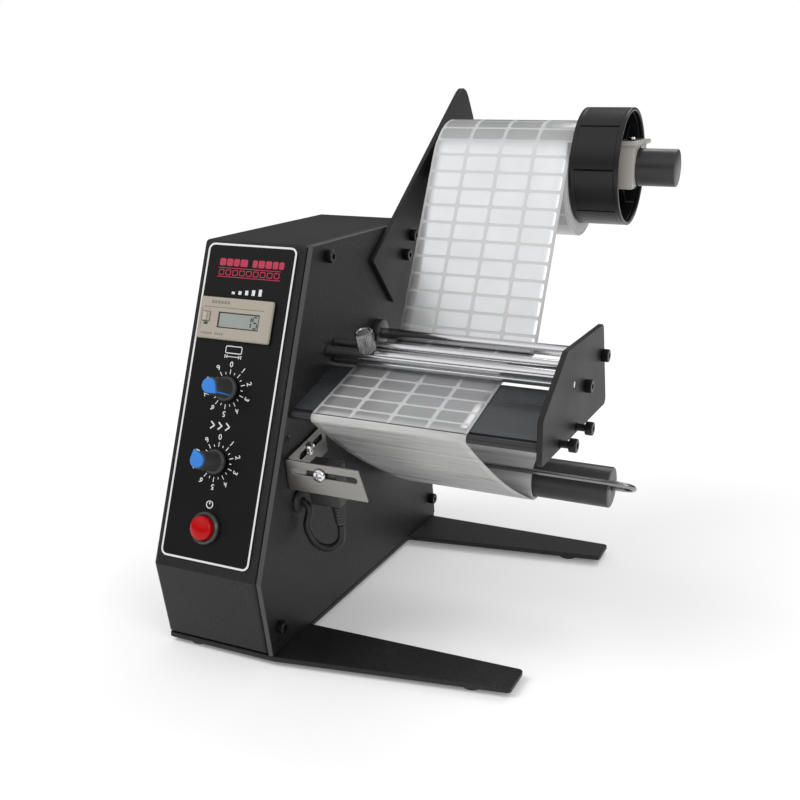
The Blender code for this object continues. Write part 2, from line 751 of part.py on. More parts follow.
def make_side_plate(shop):
    """The thick plate that carries everything on the right, with its holes."""
    outline = box_corners(BOX_FOOT)
    shank = SCREW_SHANK_RADIUS + SEAT_GAP
    holes = [round_hole(*spot, shank, TINY_STEPS) for spot in side_screw_spots().values()]
    holes.append(round_hole(ARM_SCREW_UPPER_Y, ARM_SCREW_UPPER_Z, shank, TINY_STEPS))
    holes.append(round_hole(ARM_SCREW_LOWER_Y, ARM_SCREW_LOWER_Z, shank, TINY_STEPS))
    holes.append(round_hole(TAKE_UP_Y, TAKE_UP_Z, BUSH_RADIUS + SEAT_GAP, ROUND_STEPS))
    holes.append(round_hole(GROMMET_Y, GROMMET_Z, GROMMET_RADIUS + SEAT_GAP))
    holes.append(round_hole(*hold_down_spot(), ROLLER_PIN_RADIUS + RUN_GAP, TINY_STEPS))
    slot_start, slot_drop = BRACKET_SCREW_ALONG, BRACKET_SLOT_DROP
    spot = bracket_spot(slot_start, slot_drop)
    holes.append(round_hole(*spot, PHILLIPS_SHANK_RADIUS + SEAT_GAP, TINY_STEPS))
    side_plate_like(
        shop, "side_plate", [outline, *holes], "powder", SIDE_INNER, SIDE_THICKNESS, SIDE_EDGE_RADIUS
    )
    for name, spot in side_screw_spots().items():
        place_x = BOX_WIDTH + SEAT_GAP
        turned(shop, name, screw_profile(SCREW_GRIP), "bolt", (place_x, *spot), steps=SMALL_STEPS)


def make_cover(shop):
    """The folded cover: front, top, back, bottom and left wall, with a lip round its open side."""
    outer = prism(shop, "cover_shell", box_corners(BOX_FOOT), 0, COVER_WIDTH, "powder", False)
    bevel(outer, COVER_BEND, 3)
    inner = inset_outline(box_corners(BOX_FOOT), COVER_WALL)
    mouth = inset_outline(box_corners(BOX_FOOT), COVER_LIP)
    lip_start = COVER_WIDTH - COVER_WALL
    cut(outer, prism(shop, "cover_inside", inner, COVER_WALL, lip_start))
    cut(outer, prism(shop, "cover_mouth", mouth, lip_start - CUT_OVERRUN, COVER_WIDTH + CUT_OVERRUN))
    hole = SCREW_SHANK_RADIUS + SEAT_GAP
    for name, spot in side_screw_spots().items():
        mesh = cylinder_mesh(name + "_hole", hole, -CUT_OVERRUN, COVER_WALL + CUT_OVERRUN, TINY_STEPS)
        cut(outer, place(shop, name + "_hole", mesh, None, (lip_start, *spot), TO_X, cutter=True))
    low, high = -COVER_WALL - CUT_OVERRUN, CUT_OVERRUN
    body = COUNTER_BODY_INSET - SEAT_GAP
    size = (COUNTER_WIDTH - 2 * body, COUNTER_HEIGHT - 2 * body, high - low)
    middle = (COUNTER_LEFT + COUNTER_WIDTH / 2, -COUNTER_TOP - COUNTER_HEIGHT / 2, (low + high) / 2)
    mesh = box_mesh("counter_opening", size)
    cut(outer, place(shop, "counter_opening", mesh, None, middle, parent=shop.panel, cutter=True))
    openings = {
        "length_opening": (LENGTH_DIAL_DOWN, POT_BUSH_RADIUS),
        "speed_opening": (SPEED_DIAL_DOWN, POT_BUSH_RADIUS),
        "switch_opening": (SWITCH_DOWN, SWITCH_BARREL_RADIUS),
    }
    for name, (down, radius) in openings.items():
        mesh = cylinder_mesh(name, radius + SEAT_GAP, low, high, SMALL_STEPS)
        spot = (CONTROL_LINE, -down, 0)
        cut(outer, place(shop, name, mesh, None, spot, parent=shop.panel, cutter=True))
    mesh = cylinder_mesh("inlet_opening", INLET_RADIUS + SEAT_GAP, low, high, SMALL_STEPS)
    spot = (-INLET_X, INLET_UP, 0)
    cut(outer, place(shop, "inlet_opening", mesh, None, spot, parent=shop.back, cutter=True))
    smooth(outer.data)


def make_overlay(shop):
    """The thin printed panel over the front, open for the counter, the dials and the switch."""
    left, right = OVERLAY_LEFT, OVERLAY_LEFT + OVERLAY_WIDTH
    top, bottom = -OVERLAY_TOP, -OVERLAY_TOP - OVERLAY_LENGTH
    corner = OVERLAY_CORNER
    frame = fillet(
        [(left, bottom, corner), (right, bottom, corner), (right, top, corner), (left, top, corner)]
    )
    inset = COUNTER_BODY_INSET - SEAT_GAP
    window_left, window_right = COUNTER_LEFT + inset, COUNTER_LEFT + COUNTER_WIDTH - inset
    window_top, window_bottom = -COUNTER_TOP - inset, -COUNTER_TOP - COUNTER_HEIGHT + inset
    window = fillet(
        [
            (window_left, window_bottom, 0),
            (window_right, window_bottom, 0),
            (window_right, window_top, 0),
            (window_left, window_top, 0),
        ]
    )
    dials = [
        round_hole(CONTROL_LINE, -LENGTH_DIAL_DOWN, POT_BUSH_RADIUS + SEAT_GAP),
        round_hole(CONTROL_LINE, -SPEED_DIAL_DOWN, POT_BUSH_RADIUS + SEAT_GAP),
        round_hole(CONTROL_LINE, -SWITCH_DOWN, SWITCH_BARREL_RADIUS + SEAT_GAP),
    ]
    curve = outline_curve("panel_overlay", [frame, window, *dials], OVERLAY_THICKNESS)
    mesh = curve_to_mesh("panel_overlay", curve)
    lift = SEAT_GAP + OVERLAY_THICKNESS / 2
    place(shop, "panel_overlay", mesh, "overlay", (0, 0, lift), parent=shop.panel)


def make_counter(shop):
    """The small counter: a bezel with a body behind it, a window and a reset button in a well."""
    face = PANEL_FACE
    middle = Vector((COUNTER_LEFT + COUNTER_WIDTH / 2, -COUNTER_TOP - COUNTER_HEIGHT / 2, face))
    size = (COUNTER_WIDTH, COUNTER_HEIGHT, COUNTER_RIM)
    mesh = box_mesh("counter_body", size, (0, 0, COUNTER_RIM / 2))
    counter = place(shop, "counter_body", mesh, "beige", middle, parent=shop.panel)
    bevel(counter, COUNTER_CORNER, 2)
    body = (
        COUNTER_WIDTH - 2 * COUNTER_BODY_INSET,
        COUNTER_HEIGHT - 2 * COUNTER_BODY_INSET,
        COUNTER_BODY_DEPTH,
    )
    top = COUNTER_RIM / 2
    mesh = box_mesh("counter_case", body, (0, 0, top - COUNTER_BODY_DEPTH / 2))
    case = place(shop, "counter_case", mesh, None, middle, parent=shop.panel, cutter=True)
    cut(counter, case, "UNION")
    corner = Vector((-COUNTER_WIDTH / 2, COUNTER_HEIGHT / 2, COUNTER_RIM))
    wells = {
        "window_well": (WINDOW_LEFT, WINDOW_TOP, WINDOW_WIDTH, WINDOW_HEIGHT, WINDOW_RECESS),
        "reset_well": (RESET_LEFT, RESET_TOP, RESET_WIDTH, RESET_HEIGHT, RESET_RECESS),
    }
    for name, (left, down, width, height, depth) in wells.items():
        size = (width, height, depth + CUT_OVERRUN)
        spot = corner + Vector((left + width / 2, -down - height / 2, (CUT_OVERRUN - depth) / 2))
        well = place(shop, name, box_mesh(name, size), None, middle + spot, parent=shop.panel, cutter=True)
        cut(counter, well)
    size = (WINDOW_WIDTH - 2 * SEAT_GAP, WINDOW_HEIGHT - 2 * SEAT_GAP, WINDOW_THICKNESS)
    spot = (
        WINDOW_LEFT + WINDOW_WIDTH / 2,
        -WINDOW_TOP - WINDOW_HEIGHT / 2,
        SEAT_GAP + WINDOW_THICKNESS / 2 - WINDOW_RECESS,
    )
    spot = middle + corner + Vector(spot)
    place(shop, "counter_window", box_mesh("counter_window", size), "window", spot, parent=shop.panel)
    gap = SEAT_GAP
    depth = RESET_RECESS - RESET_TRAVEL - SEAT_GAP + RESET_PROUD
    size = (RESET_WIDTH - 2 * gap, RESET_HEIGHT - 2 * gap, depth)
    spot = (RESET_LEFT + RESET_WIDTH / 2, -RESET_TOP - RESET_HEIGHT / 2, RESET_PROUD - depth / 2)
    spot = middle + corner + Vector(spot)
    place(shop, "reset_button", box_mesh("reset_button", size), "beige", spot, parent=shop.panel)


def make_dial(shop, name, down, setting):
    """A knob with a skirt, a raised pointer and a bore, over a potentiometer held behind the panel."""
    foot = KNOB_FOOT
    spot = (CONTROL_LINE, -down, foot)
    turn = (0, 0, math.pi / 2 - setting)
    bore = POT_SHAFT_RADIUS + RUN_GAP
    edge = KNOB_SKIRT_HEIGHT / 5
    profile = [
        (0, KNOB_HEIGHT),
        (KNOB_TOP_RADIUS - edge, KNOB_HEIGHT),
        (KNOB_TOP_RADIUS, KNOB_HEIGHT - edge),
        (KNOB_BASE_RADIUS, KNOB_SKIRT_HEIGHT),
        (KNOB_SKIRT_RADIUS - edge, KNOB_SKIRT_HEIGHT - edge),
        (KNOB_SKIRT_RADIUS, edge),
        (KNOB_SKIRT_RADIUS, 0),
        (bore, 0),
        (bore, KNOB_BORE_DEPTH),
        (0, KNOB_BORE_DEPTH),
    ]
    knob = turned(
        shop, name + "_knob", profile, "black_plastic", spot, turn, ROUND_STEPS, parent=shop.panel
    )
    tip = KNOB_POINTER_REACH
    round_end = KNOB_TOP_RADIUS - edge
    side = math.sqrt(tip**2 - round_end**2) * round_end / tip
    back = round_end**2 / tip
    arc = math.atan2(side, back)
    sweep = [arc + (math.tau - 2 * arc) * k / SMALL_STEPS for k in range(SMALL_STEPS + 1)]
    drop = [Vector((round_end * math.cos(a), round_end * math.sin(a))) for a in sweep]
    curve = outline_curve(name + "_pointer", [[Vector((tip, 0)), *drop]], 2 * KNOB_CAP_HEIGHT)
    mesh = curve_to_mesh(name + "_pointer", curve)
    high = (CONTROL_LINE, -down, foot + KNOB_HEIGHT)
    pointer = place(shop, name + "_pointer", mesh, None, high, turn, shop.panel, cutter=True)
    cut(knob, pointer, "UNION")
    shaft_top = foot + KNOB_BORE_DEPTH - 2 * SEAT_GAP
    bush_top = foot - RUN_GAP
    back_face = -COVER_WALL - SEAT_GAP
    profile = [
        (0, shaft_top),
        (POT_SHAFT_RADIUS, shaft_top),
        (POT_SHAFT_RADIUS, bush_top),
        (POT_BUSH_RADIUS, bush_top),
        (POT_BUSH_RADIUS, back_face),
        (POT_BODY_RADIUS, back_face),
        (POT_BODY_RADIUS, back_face - POT_BODY_DEPTH),
        (0, back_face - POT_BODY_DEPTH),
    ]
    behind = (CONTROL_LINE, -down, 0)
    turned(
        shop, name + "_pot", profile, "stainless", behind, (0, 0, 0), SMALL_STEPS, parent=shop.panel
    )


def make_switch(shop):
    """The round push switch: a barrel with a rim, and a domed button that sinks into its well."""
    face = PANEL_FACE
    well = BUTTON_RADIUS + RUN_GAP
    edge = SWITCH_RIM_HEIGHT / 3
    rim = face + SWITCH_RIM_HEIGHT
    profile = [
        (well, rim),
        (SWITCH_RIM_RADIUS - edge, rim),
        (SWITCH_RIM_RADIUS, rim - edge),
        (SWITCH_RIM_RADIUS, face),
        (SWITCH_BARREL_RADIUS, face),
        (SWITCH_BARREL_RADIUS, -SWITCH_BARREL_DEPTH),
        (0, -SWITCH_BARREL_DEPTH),
        (0, rim - BUTTON_WELL_DEPTH),
        (well, rim - BUTTON_WELL_DEPTH),
    ]
    spot = (CONTROL_LINE, -SWITCH_DOWN, 0)
    turned(
        shop, "power_switch", profile, "black_plastic", spot, (0, 0, 0), closed=True, parent=shop.panel
    )
    dome = []
    for k in range(CORNER_STEPS + 1):
        turn = math.pi / 2 * (1 - k / CORNER_STEPS)
        dome.append((BUTTON_RADIUS * math.cos(turn), BUTTON_PROUD / 2 * math.sin(turn)))
    dome = [(radius, rim + BUTTON_PROUD / 2 + rise) for radius, rise in dome]
    profile = [*dome, (BUTTON_RADIUS, rim - BUTTON_STEM_DEPTH), (0, rim - BUTTON_STEM_DEPTH)]
    turned(shop, "power_button", profile, "red", spot, (0, 0, 0), parent=shop.panel)


def make_arm(shop):
    """The flat roll arm, its two screws and the fixed roll shaft."""
    shank = SCREW_SHANK_RADIUS + SEAT_GAP
    screws = {
        "arm_screw_upper": (ARM_SCREW_UPPER_Y, ARM_SCREW_UPPER_Z),
        "arm_screw_lower": (ARM_SCREW_LOWER_Y, ARM_SCREW_LOWER_Z),
    }
    holes = [round_hole(*spot, shank, TINY_STEPS) for spot in screws.values()]
    loops = [fillet(arm_corners()), *holes]
    side_plate_like(shop, "roll_arm", loops, "powder", BAY_START, ARM_THICKNESS, SIDE_EDGE_RADIUS)
    face = BAY_START + ARM_THICKNESS + SEAT_GAP
    grip = SIDE_THICKNESS + ARM_THICKNESS
    for name, spot in screws.items():
        turned(shop, name, screw_profile(grip), "bolt", (face, *spot), steps=SMALL_STEPS)
    edge = SHAFT_CHAMFER
    length = ROLL_SHAFT_END - face
    profile = [
        (0, length),
        (ROLL_SHAFT_RADIUS - edge, length),
        (ROLL_SHAFT_RADIUS, length - edge),
        (ROLL_SHAFT_RADIUS, 0),
        (0, 0),
    ]
    spot = (face, ROLL_SHAFT_Y, ROLL_SHAFT_Z)
    turned(shop, "roll_shaft", profile, "anodised", spot, steps=ROUND_STEPS)


def make_cup(shop):
    """The core cup beside the roll: a slit drum with a floor, a hub and ribs, turning on the shaft."""
    inner = CUP_RADIUS - CUP_WALL
    bore = ROLL_SHAFT_RADIUS + RUN_GAP
    profile = [
        (inner, CUP_LENGTH),
        (CUP_RADIUS, CUP_LENGTH),
        (CUP_RADIUS, 0),
        (bore, 0),
        (bore, CUP_HUB_LENGTH),
        (CUP_HUB_RADIUS, CUP_HUB_LENGTH),
        (CUP_HUB_RADIUS, CUP_FLOOR),
        (inner, CUP_FLOOR),
    ]
    spot = (CUP_START, ROLL_SHAFT_Y, ROLL_SHAFT_Z)
    cup = turned(shop, "core_cup", profile, "black_plastic", spot, steps=FINE_STEPS, closed=True)
    overlap = CUP_WALL / 2
    rib_height = inner - CUP_HUB_RADIUS + 2 * overlap
    rib_length = CUP_HUB_LENGTH - CUP_FLOOR
    for k in range(CUP_RIBS):
        turn = math.tau * (k + 0.5) / CUP_RIBS
        out = (inner + CUP_HUB_RADIUS) / 2
        size = (rib_length, rib_height, CUP_RIB_THICKNESS)
        middle = (CUP_FLOOR + rib_length / 2 - overlap, out, 0)
        name = f"cup_rib_{k + 1}"
        rib = place(shop, name, box_mesh(name, size, middle), None, spot, (turn, 0, 0), cutter=True)
        cut(cup, rib, "UNION")
    slit_length = CUP_LENGTH - 2 * CUP_SLIT_END
    for k in range(CUP_SLITS):
        turn = math.tau * k / CUP_SLITS
        size = (slit_length, CUP_WALL + CUT_OVERRUN, CUP_SLIT_WIDTH)
        middle = (CUP_SLIT_END + slit_length / 2, CUP_RADIUS, 0)
        name = f"cup_slit_{k + 1}"
        slit = place(shop, name, box_mesh(name, size, middle), None, spot, (turn, 0, 0), cutter=True)
        cut(cup, slit)


def make_clamp(shop):
    """The split plastic clamp that keeps the cup on the shaft, with a lip along its top."""
    middle = Vector((CLAMP_START + CLAMP_LENGTH / 2, ROLL_SHAFT_Y, ROLL_SHAFT_Z))
    rise = CLAMP_HEIGHT / 2 - CLAMP_DROP
    size = (CLAMP_LENGTH, CLAMP_WIDTH, CLAMP_HEIGHT)
    mesh = box_mesh("shaft_clamp", size, (0, 0, rise))
    clamp = place(shop, "shaft_clamp", mesh, "grey_plastic", middle)
    bevel(clamp, CLAMP_CORNER, 2)
    top = rise + CLAMP_HEIGHT / 2
    lip = (CLAMP_LENGTH + CLAMP_LIP_REACH, CLAMP_WIDTH + 2 * CLAMP_LIP_REACH, CLAMP_LIP_HEIGHT)
    lip_middle = (CLAMP_LIP_REACH / 2, 0, top - CLAMP_LIP_HEIGHT / 2)
    mesh = box_mesh("clamp_lip", lip, lip_middle)
    cut(clamp, place(shop, "clamp_lip", mesh, None, middle, cutter=True), "UNION")
    bore = ROLL_SHAFT_RADIUS + SEAT_GAP
    reach = CLAMP_LENGTH / 2 + CLAMP_LIP_REACH + CUT_OVERRUN
    mesh = cylinder_mesh("clamp_bore", bore, -reach, reach, ROUND_STEPS)
    cut(clamp, place(shop, "clamp_bore", mesh, None, middle, TO_X, cutter=True))
    slit_height = top + CUT_OVERRUN
    mesh = box_mesh("clamp_slit", (2 * reach, CLAMP_SLIT, slit_height), (0, 0, slit_height / 2))
    cut(clamp, place(shop, "clamp_slit", mesh, None, middle, cutter=True))
    radius, height = CLAMP_SCREW_RADIUS, CLAMP_SCREW_HEIGHT
    stem = CLAMP_SLIT / 2 - SEAT_GAP
    profile = [(0, height), (radius, height), (radius, 0), (stem, 0), (stem, -height), (0, -height)]
    spot = middle + Vector((0, 0, top + SEAT_GAP))
    turned(shop, "clamp_screw", profile, "chrome", spot, (0, 0, 0), TINY_STEPS)


def make_label_roll(shop):
    """The roll of labels, hanging by its card core on the bare shaft."""
    spot = (WEB_LEFT, ROLL_SHAFT_Y, ROLL_Z)
    core = CORE_BORE_RADIUS + CORE_WALL
    rings = {
        "label_core": (CORE_BORE_RADIUS, core, "card"),
        "label_roll": (core + SEAT_GAP, ROLL_RADIUS, "label"),
    }
    for name, (inner, outer, finish) in rings.items():
        profile = [(inner, WEB_WIDTH), (outer, WEB_WIDTH), (outer, 0), (inner, 0)]
        turned(shop, name, profile, finish, spot, steps=FINE_STEPS, closed=True)


def tangent_points(first, second):
    """Where a strip leaves one round and meets the next. A round is (y, z, radius, turn), turn +1 when
    the strip runs anticlockwise about it and -1 when clockwise."""
    y1, z1, r1, t1 = first
    y2, z2, r2, t2 = second
    between = Vector((y2 - y1, z2 - z1))
    distance = between.length
    lean = math.asin((t1 * r1 - t2 * r2) / distance)
    along = Matrix.Rotation(lean, 2) @ between.normalized()
    right = Vector((along.y, -along.x))
    return Vector((y1, z1)) + right * (t1 * r1), Vector((y2, z2)) + right * (t2 * r2)


def strip_path(rounds, lead_in, lead_out, steps):
    """The middle line of a strip that runs round each round in turn."""
    spans = [tangent_points(a, b) for a, b in zip(rounds, rounds[1:])]
    path = []
    for i, (y, z, radius, turn) in enumerate(rounds):
        middle = Vector((y, z))
        arrive = spans[i - 1][1] - middle if i else None
        leave = spans[i][0] - middle if i < len(spans) else None
        if arrive is None:
            arrive = Matrix.Rotation(-turn * lead_in, 2) @ leave
        if leave is None:
            leave = Matrix.Rotation(turn * lead_out, 2) @ arrive
        start = math.atan2(arrive.y, arrive.x)
        sweep = (math.atan2(leave.y, leave.x) - start) * turn % math.tau
        for k in range(steps + 1):
            angle = start + turn * sweep * k / steps
            path.append(middle + radius * Vector((math.cos(angle), math.sin(angle))))
    return path


def strip(shop, name, path, finish):
    """A sheet as wide as the web along a path in Y and Z."""
    made = bmesh.new()
    verts = [made.verts.new((WEB_LEFT, point.x, point.y)) for point in path]
    edges = [made.edges.new(pair) for pair in zip(verts, verts[1:])]
    grown = bmesh.ops.extrude_edge_only(made, edges=edges)
    moved = [item for item in grown["geom"] if isinstance(item, bmesh.types.BMVert)]
    bmesh.ops.translate(made, vec=(WEB_WIDTH, 0, 0), verts=moved)
    mesh = bpy.data.meshes.new(name)
    made.to_mesh(mesh)
    made.free()
    sheet = place(shop, name, mesh, finish, (0, 0, 0))
    step = sheet.modifiers.new("thickness", "SOLIDIFY")
    step.thickness = WEB_THICKNESS
    step.offset = 0
    step.use_even_offset = True
    return sheet


def web_rounds():
    """The rounds that the web runs over, from the roll to the take-up, with the web's own standoff."""
    wound = TAKE_UP_RADIUS + WOUND_THICKNESS
    edge = PEEL_PLATE_THICKNESS / 2
    return [
        (ROLL_SHAFT_Y, ROLL_Z, ROLL_RADIUS + WEB_STANDOFF, 1),
        (REAR_ROD_Y, REAR_ROD_Z, REAR_ROD_RADIUS + WEB_STANDOFF, -1),
        (PEEL_PLATE_BACK_Y, PEEL_PLATE_BACK_Z, edge + WEB_STANDOFF, 1),
        (PEEL_BAR_Y, PEEL_BAR_Z, PEEL_BAR_RADIUS + WEB_STANDOFF, 1),
        (TAKE_UP_Y, TAKE_UP_Z, wound + WEB_STANDOFF, 1),
    ]


def make_web(shop):
    """The label web from the roll to the peel bar, and the bare liner from there to the take-up."""
    rounds = web_rounds()
    path = strip_path(rounds[:4], WEB_LEAD, 0, CORNER_STEPS)
    strip(shop, "label_web", path[: len(path) - CORNER_STEPS], "label")
    path = strip_path(rounds[3:], 0, WEB_LEAD, 2 * CORNER_STEPS)
    leave = tangent_points(rounds[2], rounds[3])[1] - Vector(rounds[3][:2])
    share = (SEAT_GAP + WEB_THICKNESS) / rounds[3][2]
    start = math.atan2(leave.y, leave.x) + share
    stop = math.atan2(*reversed(path[0] - Vector(rounds[3][:2])))
    sweep = (stop - start) % math.tau
    wrap = []
    for k in range(2 * CORNER_STEPS):
        angle = start + sweep * k / (2 * CORNER_STEPS)
        offset = rounds[3][2] * Vector((math.cos(angle), math.sin(angle)))
        wrap.append(Vector(rounds[3][:2]) + offset)
    leave, arrive = path[2 * CORNER_STEPS], path[2 * CORNER_STEPS + 1]
    drop = Vector((0, -LINER_SAG))
    hang = []
    for k in range(1, SAG_STEPS):
        share = k / SAG_STEPS
        hang.append(leave.lerp(arrive, share) + drop * (4 * share * (1 - share)))
    wound_part = path[2 * CORNER_STEPS + 1 :]
    strip(shop, "liner_return", [*wrap, leave, *hang, *wound_part], "liner")


def beside_web(y, radius, side):
    """The middle of a rod that lies against the web's level run, above it or below it."""
    rounds = web_rounds()
    start, stop = tangent_points(rounds[1], rounds[2])
    along = (stop - start).normalized()
    up = Vector((along.y, -along.x))
    line = start + along * ((y - start.x) / along.x)
    return line + up * (side * (radius + WEB_STANDOFF) / up.y)


def hold_down_spot():
    return beside_web(HOLD_DOWN_Y, HOLD_DOWN_RADIUS, 1)


def support_spot():
    return beside_web(SUPPORT_ROD_Y, SUPPORT_ROD_RADIUS, -1)


def rod(shop, name, y, z, radius, finish="chrome"):
    """A fixed rod between the two plates."""
    length = BAY_END - SEAT_GAP - BAY_START
    profile = [(0, length), (radius, length), (radius, 0), (0, 0)]
    return turned(shop, name, profile, finish, (BAY_START, y, z), steps=SMALL_STEPS)


def make_rollers(shop):
    """The rear roller on its long screw and hub, and the roller that holds the web down."""
    spot = (BAY_START, REAR_ROD_Y, REAR_ROD_Z)
    axle = SCREW_SHANK_RADIUS
    seat = axle + SEAT_GAP
    hub = [
        (seat, HUB_LENGTH),
        (HUB_RADIUS, HUB_LENGTH),
        (HUB_RADIUS, 0),
        (0, 0),
        (0, HUB_LENGTH - HUB_BORE_DEPTH),
        (seat, HUB_LENGTH - HUB_BORE_DEPTH),
    ]
    turned(shop, "roller_hub", hub, "anodised", spot, steps=ROUND_STEPS, closed=True)
    low, high = HUB_LENGTH + RUN_GAP, BAY_WIDTH - SEAT_GAP - RUN_GAP
    bore = axle + RUN_GAP
    tube = [(bore, high), (REAR_ROD_RADIUS, high), (REAR_ROD_RADIUS, low), (bore, low)]
    turned(shop, "rear_roller", tube, "chrome", spot, steps=SMALL_STEPS, closed=True)
    face = OUTER_FACE + SEAT_GAP - BAY_START
    foot = HUB_LENGTH - HUB_BORE_DEPTH + SEAT_GAP
    screw = [*socket_head(face), (axle, face), (axle, foot), (0, foot)]
    turned(shop, "roller_screw", screw, "bolt", spot, steps=SMALL_STEPS)
    pin, radius = ROLLER_PIN_RADIUS, HOLD_DOWN_RADIUS
    low, high = BAY_START + RUN_GAP, BAY_END - RUN_GAP
    roller = [
        (0, OUTER_FACE),
        (pin, OUTER_FACE),
        (pin, high),
        (radius, high),
        (radius, low),
        (pin, low),
        (pin, SIDE_INNER),
        (0, SIDE_INNER),
    ]
    turned(shop, "hold_down_roller", roller, "chrome", (0, *hold_down_spot()), steps=SMALL_STEPS)


def make_rods(shop):
    """The fixed rods, and the two long bolts below the peel plate."""
    rod(shop, "middle_rod", MIDDLE_ROD_Y, MIDDLE_ROD_Z, MIDDLE_ROD_RADIUS)
    front = rod(shop, "front_rod", FRONT_ROD_Y, FRONT_ROD_Z, FRONT_ROD_RADIUS)
    rod(shop, "peel_bar", PEEL_BAR_Y, PEEL_BAR_Z, PEEL_BAR_RADIUS, "anodised")
    rod(shop, "support_rod", *support_spot(), SUPPORT_ROD_RADIUS)
    make_thumb_screw(shop, front)
    shank = SCREW_SHANK_RADIUS
    inside = BAY_END - SEAT_GAP - BAY_START
    end = inside + OUTER_THICKNESS + SEAT_GAP + LOWER_TIE_SHANK
    body = [(shank, end), (shank, inside), (LOWER_TIE_RADIUS, inside), (LOWER_TIE_RADIUS, 0), (0, 0)]
    for name, y in (("lower_bolt_rear", LOWER_TIE_REAR_Y), ("lower_bolt_front", LOWER_TIE_FRONT_Y)):
        profile = [*socket_head(end), *body]
        turned(shop, name, profile, "bolt", (BAY_START, y, LOWER_TIE_Z), steps=SMALL_STEPS)


def make_thumb_screw(shop, front):
    """The knurled screw that stands in the front rod."""
    tilt = (THUMB_TILT, 0, 0)
    rod_middle = Vector((THUMB_X, FRONT_ROD_Y, FRONT_ROD_Z))
    mesh = cylinder_mesh(
        "thumb_hole", THUMB_STEM_RADIUS + RUN_GAP, -THUMB_SINK, FRONT_ROD_RADIUS + CUT_OVERRUN, TINY_STEPS
    )
    cut(front, place(shop, "thumb_hole", mesh, None, rod_middle, tilt, cutter=True))
    stem_foot = RUN_GAP - THUMB_SINK
    head_foot = stem_foot + THUMB_STEM_LENGTH + FRONT_ROD_RADIUS - THUMB_SINK
    loop = []
    for k in range(2 * THUMB_RIDGES):
        turn = math.pi * k / THUMB_RIDGES
        radius = THUMB_RADIUS - THUMB_RIDGE_DEPTH * (k % 2)
        loop.append(Vector((radius * math.cos(turn), radius * math.sin(turn))))
    mesh = curve_to_mesh("thumb_screw", outline_curve("thumb_screw", [loop], THUMB_HEIGHT))
    mesh.transform(Matrix.Translation((0, 0, head_foot + THUMB_HEIGHT / 2)))
    screw = place(shop, "thumb_screw", mesh, "chrome", rod_middle, tilt)
    overlap = THUMB_DISH
    mesh = cylinder_mesh("thumb_stem", THUMB_STEM_RADIUS, stem_foot, head_foot + overlap, TINY_STEPS)
    cut(screw, place(shop, "thumb_stem", mesh, None, rod_middle, tilt, cutter=True), "UNION")
    top = head_foot + THUMB_HEIGHT
    wall = THUMB_RADIUS / 4
    dish = THUMB_RADIUS - wall
    mesh = cylinder_mesh("thumb_dish", dish, top - THUMB_DISH, top + CUT_OVERRUN, SMALL_STEPS)
    cut(screw, place(shop, "thumb_dish", mesh, None, rod_middle, tilt, cutter=True))


def make_outer_plate(shop):
    """The plate at the rods' far ends and its socket screws."""
    corner = OUTER_CORNER
    outline = fillet(
        [
            (OUTER_FRONT_Y, OUTER_BOTTOM, corner),
            (OUTER_BACK_Y, OUTER_BOTTOM, corner),
            (OUTER_TOP_BACK_Y, OUTER_TOP, corner),
            (OUTER_TOP_FRONT_Y, OUTER_TOP, corner),
            (OUTER_FRONT_Y, OUTER_BOTTOM + OUTER_FRONT_RISE, corner),
        ]
    )
    shank = SCREW_SHANK_RADIUS + SEAT_GAP
    screws = [
        (LOWER_TIE_REAR_Y, LOWER_TIE_Z),
        (LOWER_TIE_FRONT_Y, LOWER_TIE_Z),
        (REAR_ROD_Y, REAR_ROD_Z),
    ]
    holes = [round_hole(*spot, shank, TINY_STEPS) for spot in screws]
    holes.append(round_hole(*hold_down_spot(), ROLLER_PIN_RADIUS + RUN_GAP, TINY_STEPS))
    side_plate_like(
        shop, "outer_plate", [outline, *holes], "powder", BAY_END, OUTER_THICKNESS, SIDE_EDGE_RADIUS
    )
    spot = (OUTER_FACE + SEAT_GAP, *support_spot())
    turned(shop, "support_screw", [*socket_head(0), (0, 0)], "bolt", spot, steps=SMALL_STEPS)


def make_peel_plate(shop):
    """The thin plate under the web, just behind the peel bar."""
    rounds = web_rounds()
    start, stop = tangent_points(rounds[2], rounds[3])
    along = (stop - start).normalized()
    back = Vector(rounds[2][:2])
    reach = (Vector(rounds[3][:2]) - back).dot(along) - PEEL_BAR_RADIUS - PEEL_PLATE_FRONT_GAP
    up = Vector((along.y, -along.x)) * (PEEL_PLATE_THICKNESS / 2)
    loop = [back + along * reach - up, back + along * reach + up]
    for k in range(CORNER_STEPS + 1):
        loop.append(back + Matrix.Rotation(-math.pi * k / CORNER_STEPS, 2) @ up)
    length = BAY_END - SEAT_GAP - BAY_START
    side_plate_like(shop, "peel_plate", [loop], "anodised", BAY_START, length)


